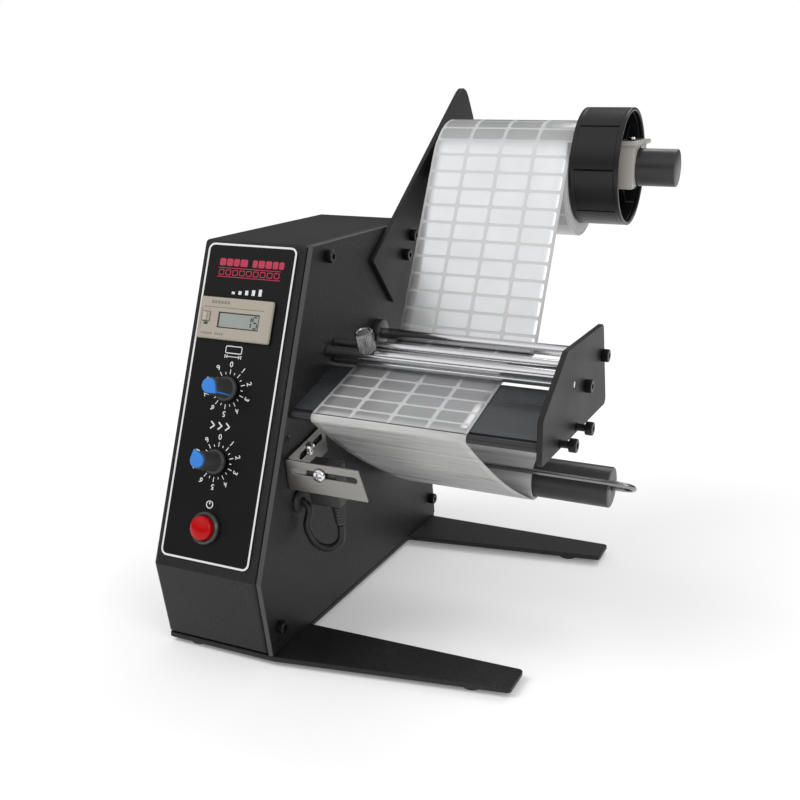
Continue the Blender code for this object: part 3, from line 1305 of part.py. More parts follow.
def make_take_up(shop):
    """The driven take-up shaft, the liner wound on it, the wire clip and the bush in the side plate."""
    spot = Vector((0, TAKE_UP_Y, TAKE_UP_Z))
    edge = SHAFT_CHAMFER
    bore = CLIP_WIRE_RADIUS + RUN_GAP
    profile = [
        (bore, TAKE_UP_END),
        (TAKE_UP_RADIUS - edge, TAKE_UP_END),
        (TAKE_UP_RADIUS, TAKE_UP_END - edge),
        (TAKE_UP_RADIUS, TAKE_UP_START),
        (SPINDLE_RADIUS, TAKE_UP_START),
        (SPINDLE_RADIUS, SPINDLE_START),
        (0, SPINDLE_START),
        (0, TAKE_UP_END - CLIP_BORE_DEPTH),
        (bore, TAKE_UP_END - CLIP_BORE_DEPTH),
    ]
    turned(shop, "take_up_shaft", profile, "anodised", spot, steps=ROUND_STEPS, closed=True)
    inner, outer = TAKE_UP_RADIUS + SEAT_GAP, TAKE_UP_RADIUS + WOUND_THICKNESS
    profile = [(inner, WEB_RIGHT), (outer, WEB_RIGHT), (outer, WEB_LEFT), (inner, WEB_LEFT)]
    turned(shop, "wound_liner", profile, "liner", spot, steps=FINE_STEPS, closed=True)
    inner = SPINDLE_RADIUS + RUN_GAP
    flange = BOX_WIDTH + SEAT_GAP + BUSH_FLANGE
    face = BOX_WIDTH + SEAT_GAP
    profile = [
        (inner, flange),
        (BUSH_FLANGE_RADIUS, flange),
        (BUSH_FLANGE_RADIUS, face),
        (BUSH_RADIUS, face),
        (BUSH_RADIUS, SIDE_INNER - SEAT_GAP),
        (inner, SIDE_INNER - SEAT_GAP),
    ]
    turned(shop, "take_up_bush", profile, "brass", spot, steps=ROUND_STEPS, closed=True)
    make_clip(shop, spot)
    make_drive(shop, spot)


def make_clip(shop, spot):
    """The U of wire: one leg in the shaft's bore, the other along the wound liner."""
    out = Vector((0, -math.cos(CLIP_RISE), math.sin(CLIP_RISE)))
    bend = CLIP_RADIUS / 2
    points = [Vector((CLIP_OUTER_START, 0, 0)) + out * CLIP_RADIUS]
    for k in range(CLIP_BEND_STEPS + 1):
        turn = math.pi * k / CLIP_BEND_STEPS
        x = CLIP_STRAIGHT_END + bend * math.sin(turn)
        points.append(Vector((x, 0, 0)) + out * (bend + bend * math.cos(turn)))
    points.append(Vector((CLIP_INNER_START, 0, 0)))
    wire_piece(shop, "liner_clip", points, CLIP_WIRE_RADIUS, "chrome", spot, 3)


def wire_piece(shop, name, points, radius, finish, location, resolution):
    curve = bpy.data.curves.new(name, "CURVE")
    curve.dimensions = "3D"
    curve.bevel_depth = radius
    curve.bevel_resolution = resolution
    curve.use_fill_caps = True
    spline = curve.splines.new("POLY")
    spline.points.add(len(points) - 1)
    for point, place_ in zip(spline.points, points):
        point.co = (*place_, 1)
    return place(shop, name, curve, finish, location)


def gear_outline(teeth, phase, thinning):
    """A gear's outline: each tooth has a root, two flanks and a tip."""
    pitch = teeth * GEAR_MODULE / 2
    tip = pitch + GEAR_MODULE
    root = pitch - GEAR_ROOT_SHARE * GEAR_MODULE
    step = math.tau / teeth
    thin = thinning / pitch / 2
    loop = []
    for k in range(teeth):
        middle = phase + step * k
        half_tip = step * TOOTH_TIP_SHARE / 2 + thin / 2
        half_root = step * TOOTH_ROOT_SHARE / 2 - thin / 2
        half_pitch = step / 4 - thin / 2
        shape = (
            (root, -half_root),
            (pitch, -half_pitch),
            (tip, -half_tip + thin),
            (tip, half_tip - thin),
            (pitch, half_pitch),
            (root, half_root),
        )
        for radius, turn in shape:
            angle = middle + turn
            loop.append(Vector((radius * math.cos(angle), radius * math.sin(angle))))
    return loop


def make_gear(shop, name, teeth, bore, phase, y, z):
    loops = [gear_outline(teeth, phase, GEAR_BACKLASH), round_hole(0, 0, bore + SEAT_GAP)]
    mesh = curve_to_mesh(name, outline_curve(name, loops, GEAR_FACE))
    place(shop, name, mesh, "brass", (GEAR_X + GEAR_FACE / 2, y, z), SIDE_VIEW.to_euler())


def make_drive(shop, spot):
    """The gear on the spindle, and the gear motor whose pinion drives it."""
    toward = PINION_BELOW + math.pi
    make_gear(shop, "take_up_gear", GEAR_TEETH, SPINDLE_RADIUS, toward, spot.y, spot.z)
    half_tooth = math.pi / PINION_TEETH
    phase = PINION_BELOW + half_tooth
    make_gear(shop, "motor_pinion", PINION_TEETH, MOTOR_SHAFT_RADIUS, phase, PINION_Y, PINION_Z)
    flange_start = SIDE_INNER - SEAT_GAP - MOTOR_FLANGE
    profile = [
        (0, flange_start + MOTOR_FLANGE / 2),
        (MOTOR_RADIUS, flange_start + MOTOR_FLANGE / 2),
        (MOTOR_RADIUS, MOTOR_START + GEARBOX_LENGTH),
        (GEARBOX_RADIUS, MOTOR_START + GEARBOX_LENGTH),
        (GEARBOX_RADIUS, MOTOR_START),
        (MOTOR_SHAFT_RADIUS, MOTOR_START),
        (MOTOR_SHAFT_RADIUS, GEAR_X - SEAT_GAP),
        (0, GEAR_X - SEAT_GAP),
    ]
    where = (0, PINION_Y, PINION_Z)
    motor = turned(shop, "gear_motor", profile, "stainless", where, steps=ROUND_STEPS)
    size = (MOTOR_FLANGE, MOTOR_FLANGE_SIDE, MOTOR_FLANGE_SIDE)
    mesh = box_mesh("motor_flange", size, (flange_start + MOTOR_FLANGE / 2, 0, 0))
    cut(motor, place(shop, "motor_flange", mesh, None, where, cutter=True), "UNION")


def bracket_spot(along, drop):
    """A place on the side leg of the bracket, as Y and Z."""
    tilt = Matrix.Rotation(BRACKET_TILT, 2)
    return Vector((BRACKET_TOP_Y, BRACKET_TOP_Z)) + tilt @ Vector((along, -drop))


def make_bracket(shop):
    """The slotted steel angle: one leg on the side plate, the other standing out under the web."""
    thickness, width = BRACKET_THICKNESS, BRACKET_WIDTH
    length = SIDE_SLOT_END - SIDE_SLOT_START
    slot = slot_hole(SIDE_SLOT_START, -BRACKET_SLOT_DROP, 0, length, BRACKET_SLOT_WIDTH)
    leg = fillet(
        [
            (0, -width, 0),
            (BRACKET_REACH_BACK, -width, BRACKET_CHAMFER / 2),
            (BRACKET_REACH_BACK, 0, BRACKET_CHAMFER / 2),
            (0, 0, 0),
        ]
    )
    mesh = curve_to_mesh("sensor_bracket", outline_curve("sensor_bracket", [leg, slot], thickness))
    turn = SIDE_VIEW.to_euler()
    bracket = place(shop, "sensor_bracket", mesh, "stainless", (thickness / 2, 0, 0), turn, shop.bracket)
    length = LONG_SLOT_END - LONG_SLOT_START
    slot = slot_hole(LONG_SLOT_START, -BRACKET_SLOT_DROP, 0, length, BRACKET_SLOT_WIDTH)
    leg = fillet(
        [
            (0, -width, 0),
            (BRACKET_REACH_OUT, -width, BRACKET_CHAMFER / 4),
            (BRACKET_REACH_OUT - BRACKET_CHAMFER, 0, BRACKET_CHAMFER / 4),
            (0, 0, 0),
        ]
    )
    mesh = curve_to_mesh("bracket_front", outline_curve("bracket_front", [leg, slot], thickness))
    turn = (math.pi / 2, 0, 0)
    front = place(
        shop, "bracket_front", mesh, None, (0, thickness / 2, 0), turn, shop.bracket, cutter=True
    )
    cut(bracket, front, "UNION")
    head, high, shank = PHILLIPS_HEAD_RADIUS, PHILLIPS_HEAD_HEIGHT, PHILLIPS_SHANK_RADIUS
    grip = thickness + SEAT_GAP + SIDE_THICKNESS
    profile = [
        (0, high),
        (head / 2, high * PHILLIPS_DOME_SHARE),
        (head * PHILLIPS_WAIST_SHARE, high / 2),
        (head, 0),
        (shank, 0),
        (shank, -grip),
        (0, -grip),
    ]
    spot = (thickness + SEAT_GAP, BRACKET_SCREW_ALONG, -BRACKET_SLOT_DROP)
    turned(
        shop, "bracket_screw", profile, "chrome", spot, TO_X, SMALL_STEPS, parent=shop.bracket
    )
    spot = (SENSOR_ALONG, -SEAT_GAP, -BRACKET_SLOT_DROP)
    turn = (math.pi / 2, 0, 0)
    turned(shop, "sensor_screw", profile, "chrome", spot, turn, SMALL_STEPS, parent=shop.bracket)


def make_sensor(shop):
    """The label sensor behind the long slot, its boot and its lead to the side plate."""
    near = BRACKET_THICKNESS + SEAT_GAP
    tall = SENSOR_ABOVE + SENSOR_BELOW
    size = (SENSOR_WIDTH, SENSOR_DEPTH, tall)
    rise = (SENSOR_ABOVE - SENSOR_BELOW) / 2 - BRACKET_SLOT_DROP
    spot = Vector((SENSOR_ALONG, near + SENSOR_DEPTH / 2, rise))
    mesh = box_mesh("sensor", size)
    sensor = place(shop, "sensor", mesh, "black_plastic", spot, parent=shop.bracket)
    bevel(sensor, SENSOR_CORNER, 2)
    foot = -tall / 2
    mesh = cylinder_mesh(
        "sensor_boot", BOOT_TIP_RADIUS, foot - BOOT_LENGTH, foot + SENSOR_CORNER, SMALL_STEPS, BOOT_RADIUS
    )
    aside = Vector((SENSOR_WIDTH / 4, 0, 0))
    boot = place(shop, "sensor_boot", mesh, None, spot + aside, parent=shop.bracket, cutter=True)
    cut(sensor, boot, "UNION")
    reach = near + SIDE_THICKNESS + SEAT_GAP
    mesh = cylinder_mesh("sensor_tapping", PHILLIPS_SHANK_RADIUS + SEAT_GAP, 0, reach, TINY_STEPS)
    hole_spot = (SENSOR_ALONG, reach, -BRACKET_SLOT_DROP)
    hole = place(
        shop, "sensor_tapping", mesh, None, hole_spot, (math.pi / 2, 0, 0), shop.bracket, cutter=True
    )
    cut(sensor, hole)
    face = BOX_WIDTH + SEAT_GAP + GROMMET_FLANGE
    bore = CABLE_RADIUS + SEAT_GAP
    flange = GROMMET_RADIUS + GROMMET_FLANGE
    profile = [
        (bore, face),
        (GROMMET_RADIUS, face),
        (flange, face - GROMMET_FLANGE / 2),
        (flange, face - GROMMET_FLANGE),
        (GROMMET_RADIUS, face - GROMMET_FLANGE),
        (GROMMET_RADIUS, SIDE_INNER),
        (bore, SIDE_INNER),
    ]
    spot = (0, GROMMET_Y, GROMMET_Z)
    turned(shop, "cable_grommet", profile, "rubber", spot, steps=SMALL_STEPS, closed=True)
    make_cable(shop)


def cable_shares():
    """How far the lead strays from the straight line to the side plate, in shares of its drop."""
    return (
        (0.0, 0.0, 0.0),
        (0.144, 0.062, -0.349),
        (0.233, 0.063, -0.744),
        (0.122, 0.007, -1.063),
        (-0.07, -0.048, -1.182),
        (-0.25, -0.079, -1.102),
        (-0.315, -0.085, -0.884),
        (-0.288, -0.059, -0.616),
        (-0.1, -0.034, -0.36),
        (0.1, -0.021, -0.129),
        (0.15, -0.014, 0.035),
        (0.055, -0.007, 0.057),
        (0.0, 0.0, 0.0),
    )


def cable_points():
    """The lead's route: out of the boot, down, round below the bracket and into the grommet."""
    near = BRACKET_THICKNESS + SEAT_GAP + SENSOR_DEPTH / 2
    tip = -BRACKET_SLOT_DROP - SENSOR_BELOW - BOOT_LENGTH - 2 * SEAT_GAP
    tilt = Matrix.Rotation(BRACKET_TILT, 3, "X")
    corner = Vector((BAY_START, BRACKET_TOP_Y, BRACKET_TOP_Z))
    start = corner + tilt @ Vector((SENSOR_ALONG + SENSOR_WIDTH / 4, near, tip))
    end = Vector((SIDE_INNER + CABLE_TAIL, GROMMET_Y, GROMMET_Z))
    shares = cable_shares()
    points = []
    for k, share in enumerate(shares):
        straight = start.lerp(end, k / (len(shares) - 1))
        points.append(straight + CABLE_DROP * Vector(share))
    return points


def smooth_route(points, between):
    """A Catmull-Rom curve through the points."""
    ends = [2 * points[0] - points[1], *points, 2 * points[-1] - points[-2]]
    route = []
    for a, b, c, d in zip(ends, ends[1:], ends[2:], ends[3:]):
        for k in range(between):
            t = k / between
            route.append(
                0.5 * (2 * b + (c - a) * t + (2 * a - 5 * b + 4 * c - d) * t**2 + (3 * b - a - 3 * c + d) * t**3)
            )
    route.append(points[-1])
    return route


def make_cable(shop):
    wire_piece(shop, "sensor_cable", smooth_route(cable_points(), 2), CABLE_RADIUS, "rubber", (0, 0, 0), 2)


def capacitor_shares():
    """How far along the board each capacitor stands from its middle."""
    return (-0.3, 0.0, 0.3)


def make_inside(shop):
    """The control board on the left wall and the power inlet in the back wall."""
    low = COVER_WALL + SEAT_GAP
    spot = Vector((low, BOARD_Y, BOARD_Z))
    size = (BOARD_THICKNESS, BOARD_LENGTH, BOARD_HEIGHT)
    face = BOARD_LEFT_GAP + BOARD_THICKNESS
    mesh = box_mesh("circuit_board", size, (BOARD_LEFT_GAP + BOARD_THICKNESS / 2, 0, 0))
    board = place(shop, "circuit_board", mesh, "board", spot)
    for k, (side, rise) in enumerate(((-1, -1), (1, -1), (1, 1), (-1, 1))):
        y = side * (BOARD_LENGTH / 2 - BOARD_POST_INSET)
        z = rise * (BOARD_HEIGHT / 2 - BOARD_POST_INSET)
        name = f"board_post_{k + 1}"
        high = BOARD_LEFT_GAP + BOARD_THICKNESS / 2
        mesh = cylinder_mesh(name, BOARD_POST_RADIUS, 0, high, TINY_STEPS)
        cut(board, place(shop, name, mesh, None, spot + Vector((0, y, z)), TO_X, cutter=True), "UNION")
    for k, share in enumerate(capacitor_shares()):
        name = f"capacitor_{k + 1}"
        mesh = cylinder_mesh(
            name, CAPACITOR_RADIUS, face - BOARD_THICKNESS / 2, face + CAPACITOR_HEIGHT, SMALL_STEPS
        )
        where = spot + Vector((0, share * BOARD_LENGTH, 0))
        cut(board, place(shop, name, mesh, None, where, TO_X, cutter=True), "UNION")
    flange = SEAT_GAP + INLET_FLANGE
    profile = [
        (INLET_BORE_RADIUS, flange),
        (INLET_FLANGE_RADIUS, flange),
        (INLET_FLANGE_RADIUS, SEAT_GAP),
        (INLET_RADIUS, SEAT_GAP),
        (INLET_RADIUS, -INLET_DEPTH),
        (0, -INLET_DEPTH),
        (0, 0),
        (INLET_PIN_RADIUS, 0),
        (INLET_PIN_RADIUS, -INLET_BORE_DEPTH),
        (INLET_BORE_RADIUS, -INLET_BORE_DEPTH),
    ]
    where = (-INLET_X, INLET_UP, 0)
    turned(
        shop, "power_inlet", profile, "black_plastic", where, (0, 0, 0), SMALL_STEPS, parent=shop.back, closed=True
    )


def main():
    clear_scene()
    shop = Workshop()
    make_base(shop)
    make_side_plate(shop)
    make_cover(shop)
    make_overlay(shop)
    make_counter(shop)
    make_dial(shop, "length", LENGTH_DIAL_DOWN, LENGTH_DIAL_SETTING)
    make_dial(shop, "speed", SPEED_DIAL_DOWN, SPEED_DIAL_SETTING)
    make_switch(shop)
    make_arm(shop)
    make_cup(shop)
    make_clamp(shop)
    make_label_roll(shop)
    make_web(shop)
    make_rollers(shop)
    make_rods(shop)
    make_outer_plate(shop)
    make_peel_plate(shop)
    make_take_up(shop)
    make_bracket(shop)
    make_sensor(shop)
    make_inside(shop)


main()
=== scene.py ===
"""Dresses a desk label dispenser: finishes, printed labels, controls, screws, rods and studio."""

import json
import math

import bmesh
import bpy
from bpy.props import FloatProperty, FloatVectorProperty, IntProperty, PointerProperty
from bpy.types import Operator, Panel, PropertyGroup
from mathutils import Matrix, Vector, noise

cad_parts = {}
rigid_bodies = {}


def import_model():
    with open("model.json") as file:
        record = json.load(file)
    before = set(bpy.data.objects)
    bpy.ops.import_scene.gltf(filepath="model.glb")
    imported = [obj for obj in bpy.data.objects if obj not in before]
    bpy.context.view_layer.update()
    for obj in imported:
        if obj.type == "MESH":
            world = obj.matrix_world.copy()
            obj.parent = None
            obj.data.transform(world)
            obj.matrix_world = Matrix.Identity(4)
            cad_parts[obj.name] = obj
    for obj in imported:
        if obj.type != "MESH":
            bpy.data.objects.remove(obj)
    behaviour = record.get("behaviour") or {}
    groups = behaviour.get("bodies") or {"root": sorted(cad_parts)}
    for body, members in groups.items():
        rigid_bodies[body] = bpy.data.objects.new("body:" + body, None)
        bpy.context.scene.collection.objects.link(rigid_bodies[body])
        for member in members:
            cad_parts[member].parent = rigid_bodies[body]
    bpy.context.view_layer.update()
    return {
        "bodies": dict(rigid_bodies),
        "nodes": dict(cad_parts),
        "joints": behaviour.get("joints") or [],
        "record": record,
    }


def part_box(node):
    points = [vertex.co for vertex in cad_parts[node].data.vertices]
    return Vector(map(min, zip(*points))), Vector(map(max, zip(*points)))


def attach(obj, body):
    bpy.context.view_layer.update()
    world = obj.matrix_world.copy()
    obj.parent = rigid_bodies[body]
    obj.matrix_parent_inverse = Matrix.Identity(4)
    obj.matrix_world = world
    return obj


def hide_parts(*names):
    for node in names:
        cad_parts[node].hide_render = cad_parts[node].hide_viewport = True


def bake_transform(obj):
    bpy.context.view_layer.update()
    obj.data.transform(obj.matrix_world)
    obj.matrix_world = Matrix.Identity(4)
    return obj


bl_info = {
    "name": "Label Dispenser",
    "version": (1, 0, 0),
    "blender": (4, 5, 0),
    "location": "View3D > Sidebar > Dispenser",
    "description": "Builds the finishes and fine pieces of a desk label dispenser over its solids",
    "category": "Object",
}

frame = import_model()

MM = 0.001
BASE_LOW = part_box("base_plate")[0]
SIDE_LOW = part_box("side_plate")[0]
CORNER = Vector((BASE_LOW.x, SIDE_LOW.y, 0))
PANEL_SETBACK = 67.4 * MM
PANEL_RISE = 175.0 * MM
PANEL_ANGLE = math.atan2(PANEL_RISE, PANEL_SETBACK)
PANEL_TOP = 228.7 * MM
PANEL_FACE = 1.2 * MM
PANEL = (
    Matrix.Translation(CORNER + Vector((0, PANEL_SETBACK, PANEL_TOP)))
    @ Matrix.Rotation(PANEL_ANGLE, 4, "X")
)
TO_X = Matrix.Rotation(math.pi / 2, 4, "Y")
BASE_TOP = 5.6 * MM
BOX_DEPTH = 240.5 * MM
TOP_BACK = 203.0 * MM
ROLL_AXIS = Vector((235.0, 263.6)) * MM
ROLL_MIDDLE = Vector((235.0, 255.4)) * MM
TAKE_UP_AXIS = Vector((160.0, 78.4)) * MM
WEB_LEFT = 85.0 * MM
WEB_WIDTH = 90.0 * MM
WEB_STANDOFF = 0.5 * MM
ROLL_RADIUS = 36.0 * MM
WOUND_RADIUS = 14.5 * MM
BRACKET_TILT = math.radians(11.6)
BRACKET = (
    Matrix.Translation(CORNER + Vector((71.3 * MM, 28.9 * MM, 116.9 * MM)))
    @ Matrix.Rotation(BRACKET_TILT, 4, "X")
)
BOOT_TIP = Vector((25.625, 7.5, -42.6)) * MM
CABLE_END = Vector((69.0, 43.5, 87.6)) * MM
CABLE_DROP = 16.0 * MM
CABLE_STRAY = (
    (0.0, 0.0, 0.0),
    (0.144, 0.062, -0.349),
    (0.233, 0.063, -0.744),
    (0.122, 0.007, -1.063),
    (-0.07, -0.048, -1.182),
    (-0.25, -0.079, -1.102),
    (-0.315, -0.085, -0.884),
    (-0.288, -0.059, -0.616),
    (-0.1, -0.034, -0.36),
    (0.1, -0.021, -0.129),
    (0.15, -0.014, 0.035),
    (0.055, -0.007, 0.057),
    (0.0, 0.0, 0.0),
)


def length_property(name, description, millimetres):
    return FloatProperty(name=name, description=description, default=millimetres * MM, unit="LENGTH")


def steps_property(name, description, default):
    return IntProperty(name=name, description=description, default=default, min=24)


class DispenserSizes(PropertyGroup):
    label_width: length_property("Label width", "Across the web", 20.0)
    label_length: length_property("Label length", "Along the web", 9.6)
    column_pitch: length_property("Column pitch", "Between label columns", 22.2)
    row_pitch: length_property("Row pitch", "Between label rows", 11.31)
    label_corner: length_property("Label corner", "Radius of a label's corners", 1.6)
    frame_line: length_property("Frame line", "Width of the white line on the panel", 1.1)
    digit_height: length_property("Digit size", "Size of the dial's digits", 4.4)
    dial_radius: length_property("Dial radius", "Radius of the ring of digits", 13.9)
    cable_width: length_property("Cable width", "Diameter of the sensor lead", 4.4)
    fine_steps: steps_property("Fine steps", "Facets round a large turned piece", 128)
    small_steps: steps_property("Small steps", "Facets round a small turned piece", 48)


def colour_property(name, description, default):
    return FloatVectorProperty(
        name=name, description=description, default=default, subtype="COLOR", size=3, min=0, max=1
    )


class DispenserColours(PropertyGroup):
    coat: colour_property("Coat", "Textured paint on the plates", (0.0115, 0.0117, 0.0122))
    overlay: colour_property("Overlay", "Film on the control panel", (0.0025, 0.0025, 0.0028))
    ink: colour_property("Ink", "Print on the panel", (0.72, 0.72, 0.72))
    title: colour_property("Title", "Coloured print at the panel's top", (0.42, 0.03, 0.07))
    cap: colour_property("Cap", "Knob caps", (0.03, 0.2, 0.62))
    button: colour_property("Button", "Power button", (0.42, 0.0, 0.001))
    label: colour_property("Label", "Face of a label", (0.76, 0.765, 0.775))
    liner: colour_property("Liner", "Bare liner", (0.46, 0.46, 0.455))
    counter: colour_property("Counter", "Counter's case", (0.36, 0.325, 0.27))
    screen: colour_property("Screen", "Counter's screen", (0.27, 0.3, 0.275))
    clamp: colour_property("Clamp", "Moulded shaft clamp", (0.44, 0.42, 0.38))


def sizes():
    return bpy.context.scene.dispenser_sizes


def colours():
    return bpy.context.scene.dispenser_colours


def at(x, y, z):
    """A place in the row frame from millimetres: X from the box's left side, Y from its knee, Z up."""
    return CORNER + Vector((x, y, z)) * MM


def along_x(x, spot):
    """A matrix that lays a piece turned about Z along +X, from x on an axis given by Y and Z."""
    return Matrix.Translation(CORNER + Vector((x, spot[0], spot[1]))) @ TO_X


def on_panel(across, down, out=0.0):
    """A matrix on the control panel: X to the right, Y up its slope and Z out of it, in metres."""
    return PANEL @ Matrix.Translation((across, -down, out))


# Node groups and materials


def new_group(name, inputs, outputs):
    group = bpy.data.node_groups.new(name, "ShaderNodeTree")
    for label, kind, value in inputs:
        socket = group.interface.new_socket(label, in_out="INPUT", socket_type=kind)
        if value is not None:
            socket.default_value = value
    for label, kind in outputs:
        group.interface.new_socket(label, in_out="OUTPUT", socket_type=kind)
    source = group.nodes.new("NodeGroupInput")
    target = group.nodes.new("NodeGroupOutput")
    return group, source.outputs, target.inputs


def add_math(tree, operation, first, second=None, third=None, clamp=False):
    node = tree.nodes.new("ShaderNodeMath")
    node.operation = operation
    node.use_clamp = clamp
    for socket, value in zip(node.inputs, (first, second, third)):
        if value is None:
            continue
        if isinstance(value, (int, float)):
            socket.default_value = value
        else:
            tree.links.new(value, socket)
    return node.outputs[0]


def grain_group():
    """Fine grain over a surface: a height, a shade from 0 to 1 and a slow blotch from 0 to 1."""
    group = bpy.data.node_groups.get("surface_grain")
    if group:
        return group
    group, given, out = new_group(
        "surface_grain",
        [
            ("Scale", "NodeSocketFloat", 900.0),
            ("Blotch Scale", "NodeSocketFloat", 18.0),
            ("Stretch", "NodeSocketVector", (1.0, 1.0, 1.0)),
        ],
        [("Height", "NodeSocketFloat"), ("Shade", "NodeSocketFloat"), ("Blotch", "NodeSocketFloat")],
    )
    place = group.nodes.new("ShaderNodeTexCoord")
    stretch = group.nodes.new("ShaderNodeVectorMath")
    stretch.operation = "MULTIPLY"
    group.links.new(place.outputs["Object"], stretch.inputs[0])
    group.links.new(given["Stretch"], stretch.inputs[1])
    fine = group.nodes.new("ShaderNodeTexNoise")
    fine.inputs["Detail"].default_value = 3.0
    fine.inputs["Roughness"].default_value = 0.6
    slow = group.nodes.new("ShaderNodeTexNoise")
    slow.inputs["Detail"].default_value = 4.0
    for node, scale in ((fine, "Scale"), (slow, "Blotch Scale")):
        group.links.new(stretch.outputs[0], node.inputs["Vector"])
        group.links.new(given[scale], node.inputs["Scale"])
    group.links.new(fine.outputs["Fac"], out["Height"])
    shade = add_math(group, "MULTIPLY_ADD", fine.outputs["Fac"], 2.2, -0.6, clamp=True)
    group.links.new(shade, out["Shade"])
    blotch = add_math(group, "MULTIPLY_ADD", slow.outputs["Fac"], 2.5, -0.75, clamp=True)
    group.links.new(blotch, out["Blotch"])
    return group


def label_group():
    """A mask that is 1 on a label and 0 on the gaps between them, from a place on the web in metres."""
    group = bpy.data.node_groups.get("label_grid")
    if group:
        return group
    group, given, out = new_group(
        "label_grid",
        [
            ("Place", "NodeSocketVector", None),
            ("Column Pitch", "NodeSocketFloat", 0.0222),
            ("Row Pitch", "NodeSocketFloat", 0.0113),
            ("Width", "NodeSocketFloat", 0.02),
            ("Length", "NodeSocketFloat", 0.0096),
            ("Corner", "NodeSocketFloat", 0.0016),
            ("Edge", "NodeSocketFloat", 0.00025),
            ("Margin", "NodeSocketFloat", 0.0006),
        ],
        [("Mask", "NodeSocketFloat"), ("Row", "NodeSocketFloat")],
    )
    split = group.nodes.new("ShaderNodeSeparateXYZ")
    group.links.new(given["Place"], split.inputs[0])
    across = add_math(group, "SUBTRACT", split.outputs["X"], given["Margin"])
    past = []
    for place, pitch, size in ((across, "Column Pitch", "Width"), (split.outputs["Y"], "Row Pitch", "Length")):
        cell = add_math(group, "DIVIDE", place, given[pitch])
        part = add_math(group, "SUBTRACT", add_math(group, "FRACT", cell), 0.5)
        away = add_math(group, "MULTIPLY", add_math(group, "ABSOLUTE", part), given[pitch])
        reach = add_math(group, "SUBTRACT", add_math(group, "MULTIPLY", given[size], 0.5), given["Corner"])
        past.append(add_math(group, "MAXIMUM", add_math(group, "SUBTRACT", away, reach), 0.0))
    square = add_math(group, "MULTIPLY", past[0], past[0])
    distance = add_math(group, "SQRT", add_math(group, "MULTIPLY_ADD", past[1], past[1], square))
    inside = add_math(group, "DIVIDE", add_math(group, "SUBTRACT", given["Corner"], distance), given["Edge"])
    group.links.new(add_math(group, "ADD", inside, 0.5, clamp=True), out["Mask"])
    row = add_math(group, "FLOOR", add_math(group, "DIVIDE", split.outputs["Y"], given["Row Pitch"]))
    group.links.new(row, out["Row"])
    return group


def turns_group():
    """Fine rings about an axis along X, as on the ends of wound paper or a lathe-turned face."""
    group = bpy.data.node_groups.get("wound_turns")
    if group:
        return group
    group, given, out = new_group(
        "wound_turns",
        [("Axis", "NodeSocketVector", None), ("Pitch", "NodeSocketFloat", 0.00035)],
        [("Height", "NodeSocketFloat"), ("Shade", "NodeSocketFloat")],
    )
    place = group.nodes.new("ShaderNodeTexCoord")
    away = group.nodes.new("ShaderNodeVectorMath")
    away.operation = "SUBTRACT"
    group.links.new(place.outputs["Object"], away.inputs[0])
    group.links.new(given["Axis"], away.inputs[1])
    flat = group.nodes.new("ShaderNodeVectorMath")
    flat.operation = "MULTIPLY"
    flat.inputs[1].default_value = (0, 1, 1)
    group.links.new(away.outputs[0], flat.inputs[0])
    length = group.nodes.new("ShaderNodeVectorMath")
    length.operation = "LENGTH"
    group.links.new(flat.outputs[0], length.inputs[0])
    turn = add_math(group, "DIVIDE", length.outputs["Value"], given["Pitch"])
    wave = add_math(group, "SINE", add_math(group, "MULTIPLY", turn, math.tau))
    group.links.new(add_math(group, "MULTIPLY_ADD", wave, 0.5, 0.5), out["Height"])
    random = group.nodes.new("ShaderNodeTexWhiteNoise")
    random.noise_dimensions = "1D"
    group.links.new(add_math(group, "FLOOR", turn), random.inputs["W"])
    group.links.new(random.outputs["Value"], out["Shade"])
    return group


def new_material(name, colour, roughness, metallic=0.0, **settings):
    made = bpy.data.materials.new(name)
    made.use_nodes = True
    shader = made.node_tree.nodes["Principled BSDF"]
    shader.inputs["Base Color"].default_value = (*colour, 1.0)
    shader.inputs["Roughness"].default_value = roughness
    shader.inputs["Metallic"].default_value = metallic
    for label, value in settings.items():
        shader.inputs[label.replace("_", " ")].default_value = value
    return made


def use_group(made, group, **values):
    node = made.node_tree.nodes.new("ShaderNodeGroup")
    node.node_tree = group
    for label, value in values.items():
        node.inputs[label.replace("_", " ")].default_value = value
    return node


def mix_colours(made, share, first, second):
    node = made.node_tree.nodes.new("ShaderNodeMix")
    node.data_type = "RGBA"
    made.node_tree.links.new(share, node.inputs["Factor"])
    for socket, value in ((node.inputs["A"], first), (node.inputs["B"], second)):
        if isinstance(value, bpy.types.NodeSocket):
            made.node_tree.links.new(value, socket)
        else:
            socket.default_value = (*value, 1.0)
    return node.outputs["Result"]


def feed(made, label, value):
    made.node_tree.links.new(value, made.node_tree.nodes["Principled BSDF"].inputs[label])


def spread(made, value, low, high):
    """Moves a 0 to 1 value into low to high, for a roughness."""
    node = made.node_tree.nodes.new("ShaderNodeMapRange")
    node.inputs["To Min"].default_value = low
    node.inputs["To Max"].default_value = high
    made.node_tree.links.new(value, node.inputs["Value"])
    return node.outputs["Result"]


def bump(made, height, distance, strength=1.0):
    node = made.node_tree.nodes.new("ShaderNodeBump")
    node.inputs["Distance"].default_value = distance
    node.inputs["Strength"].default_value = strength
    made.node_tree.links.new(height, node.inputs["Height"])
    feed(made, "Normal", node.outputs["Normal"])


def shade_of(colour, share):
    return tuple(min(1.0, channel * share) for channel in colour)


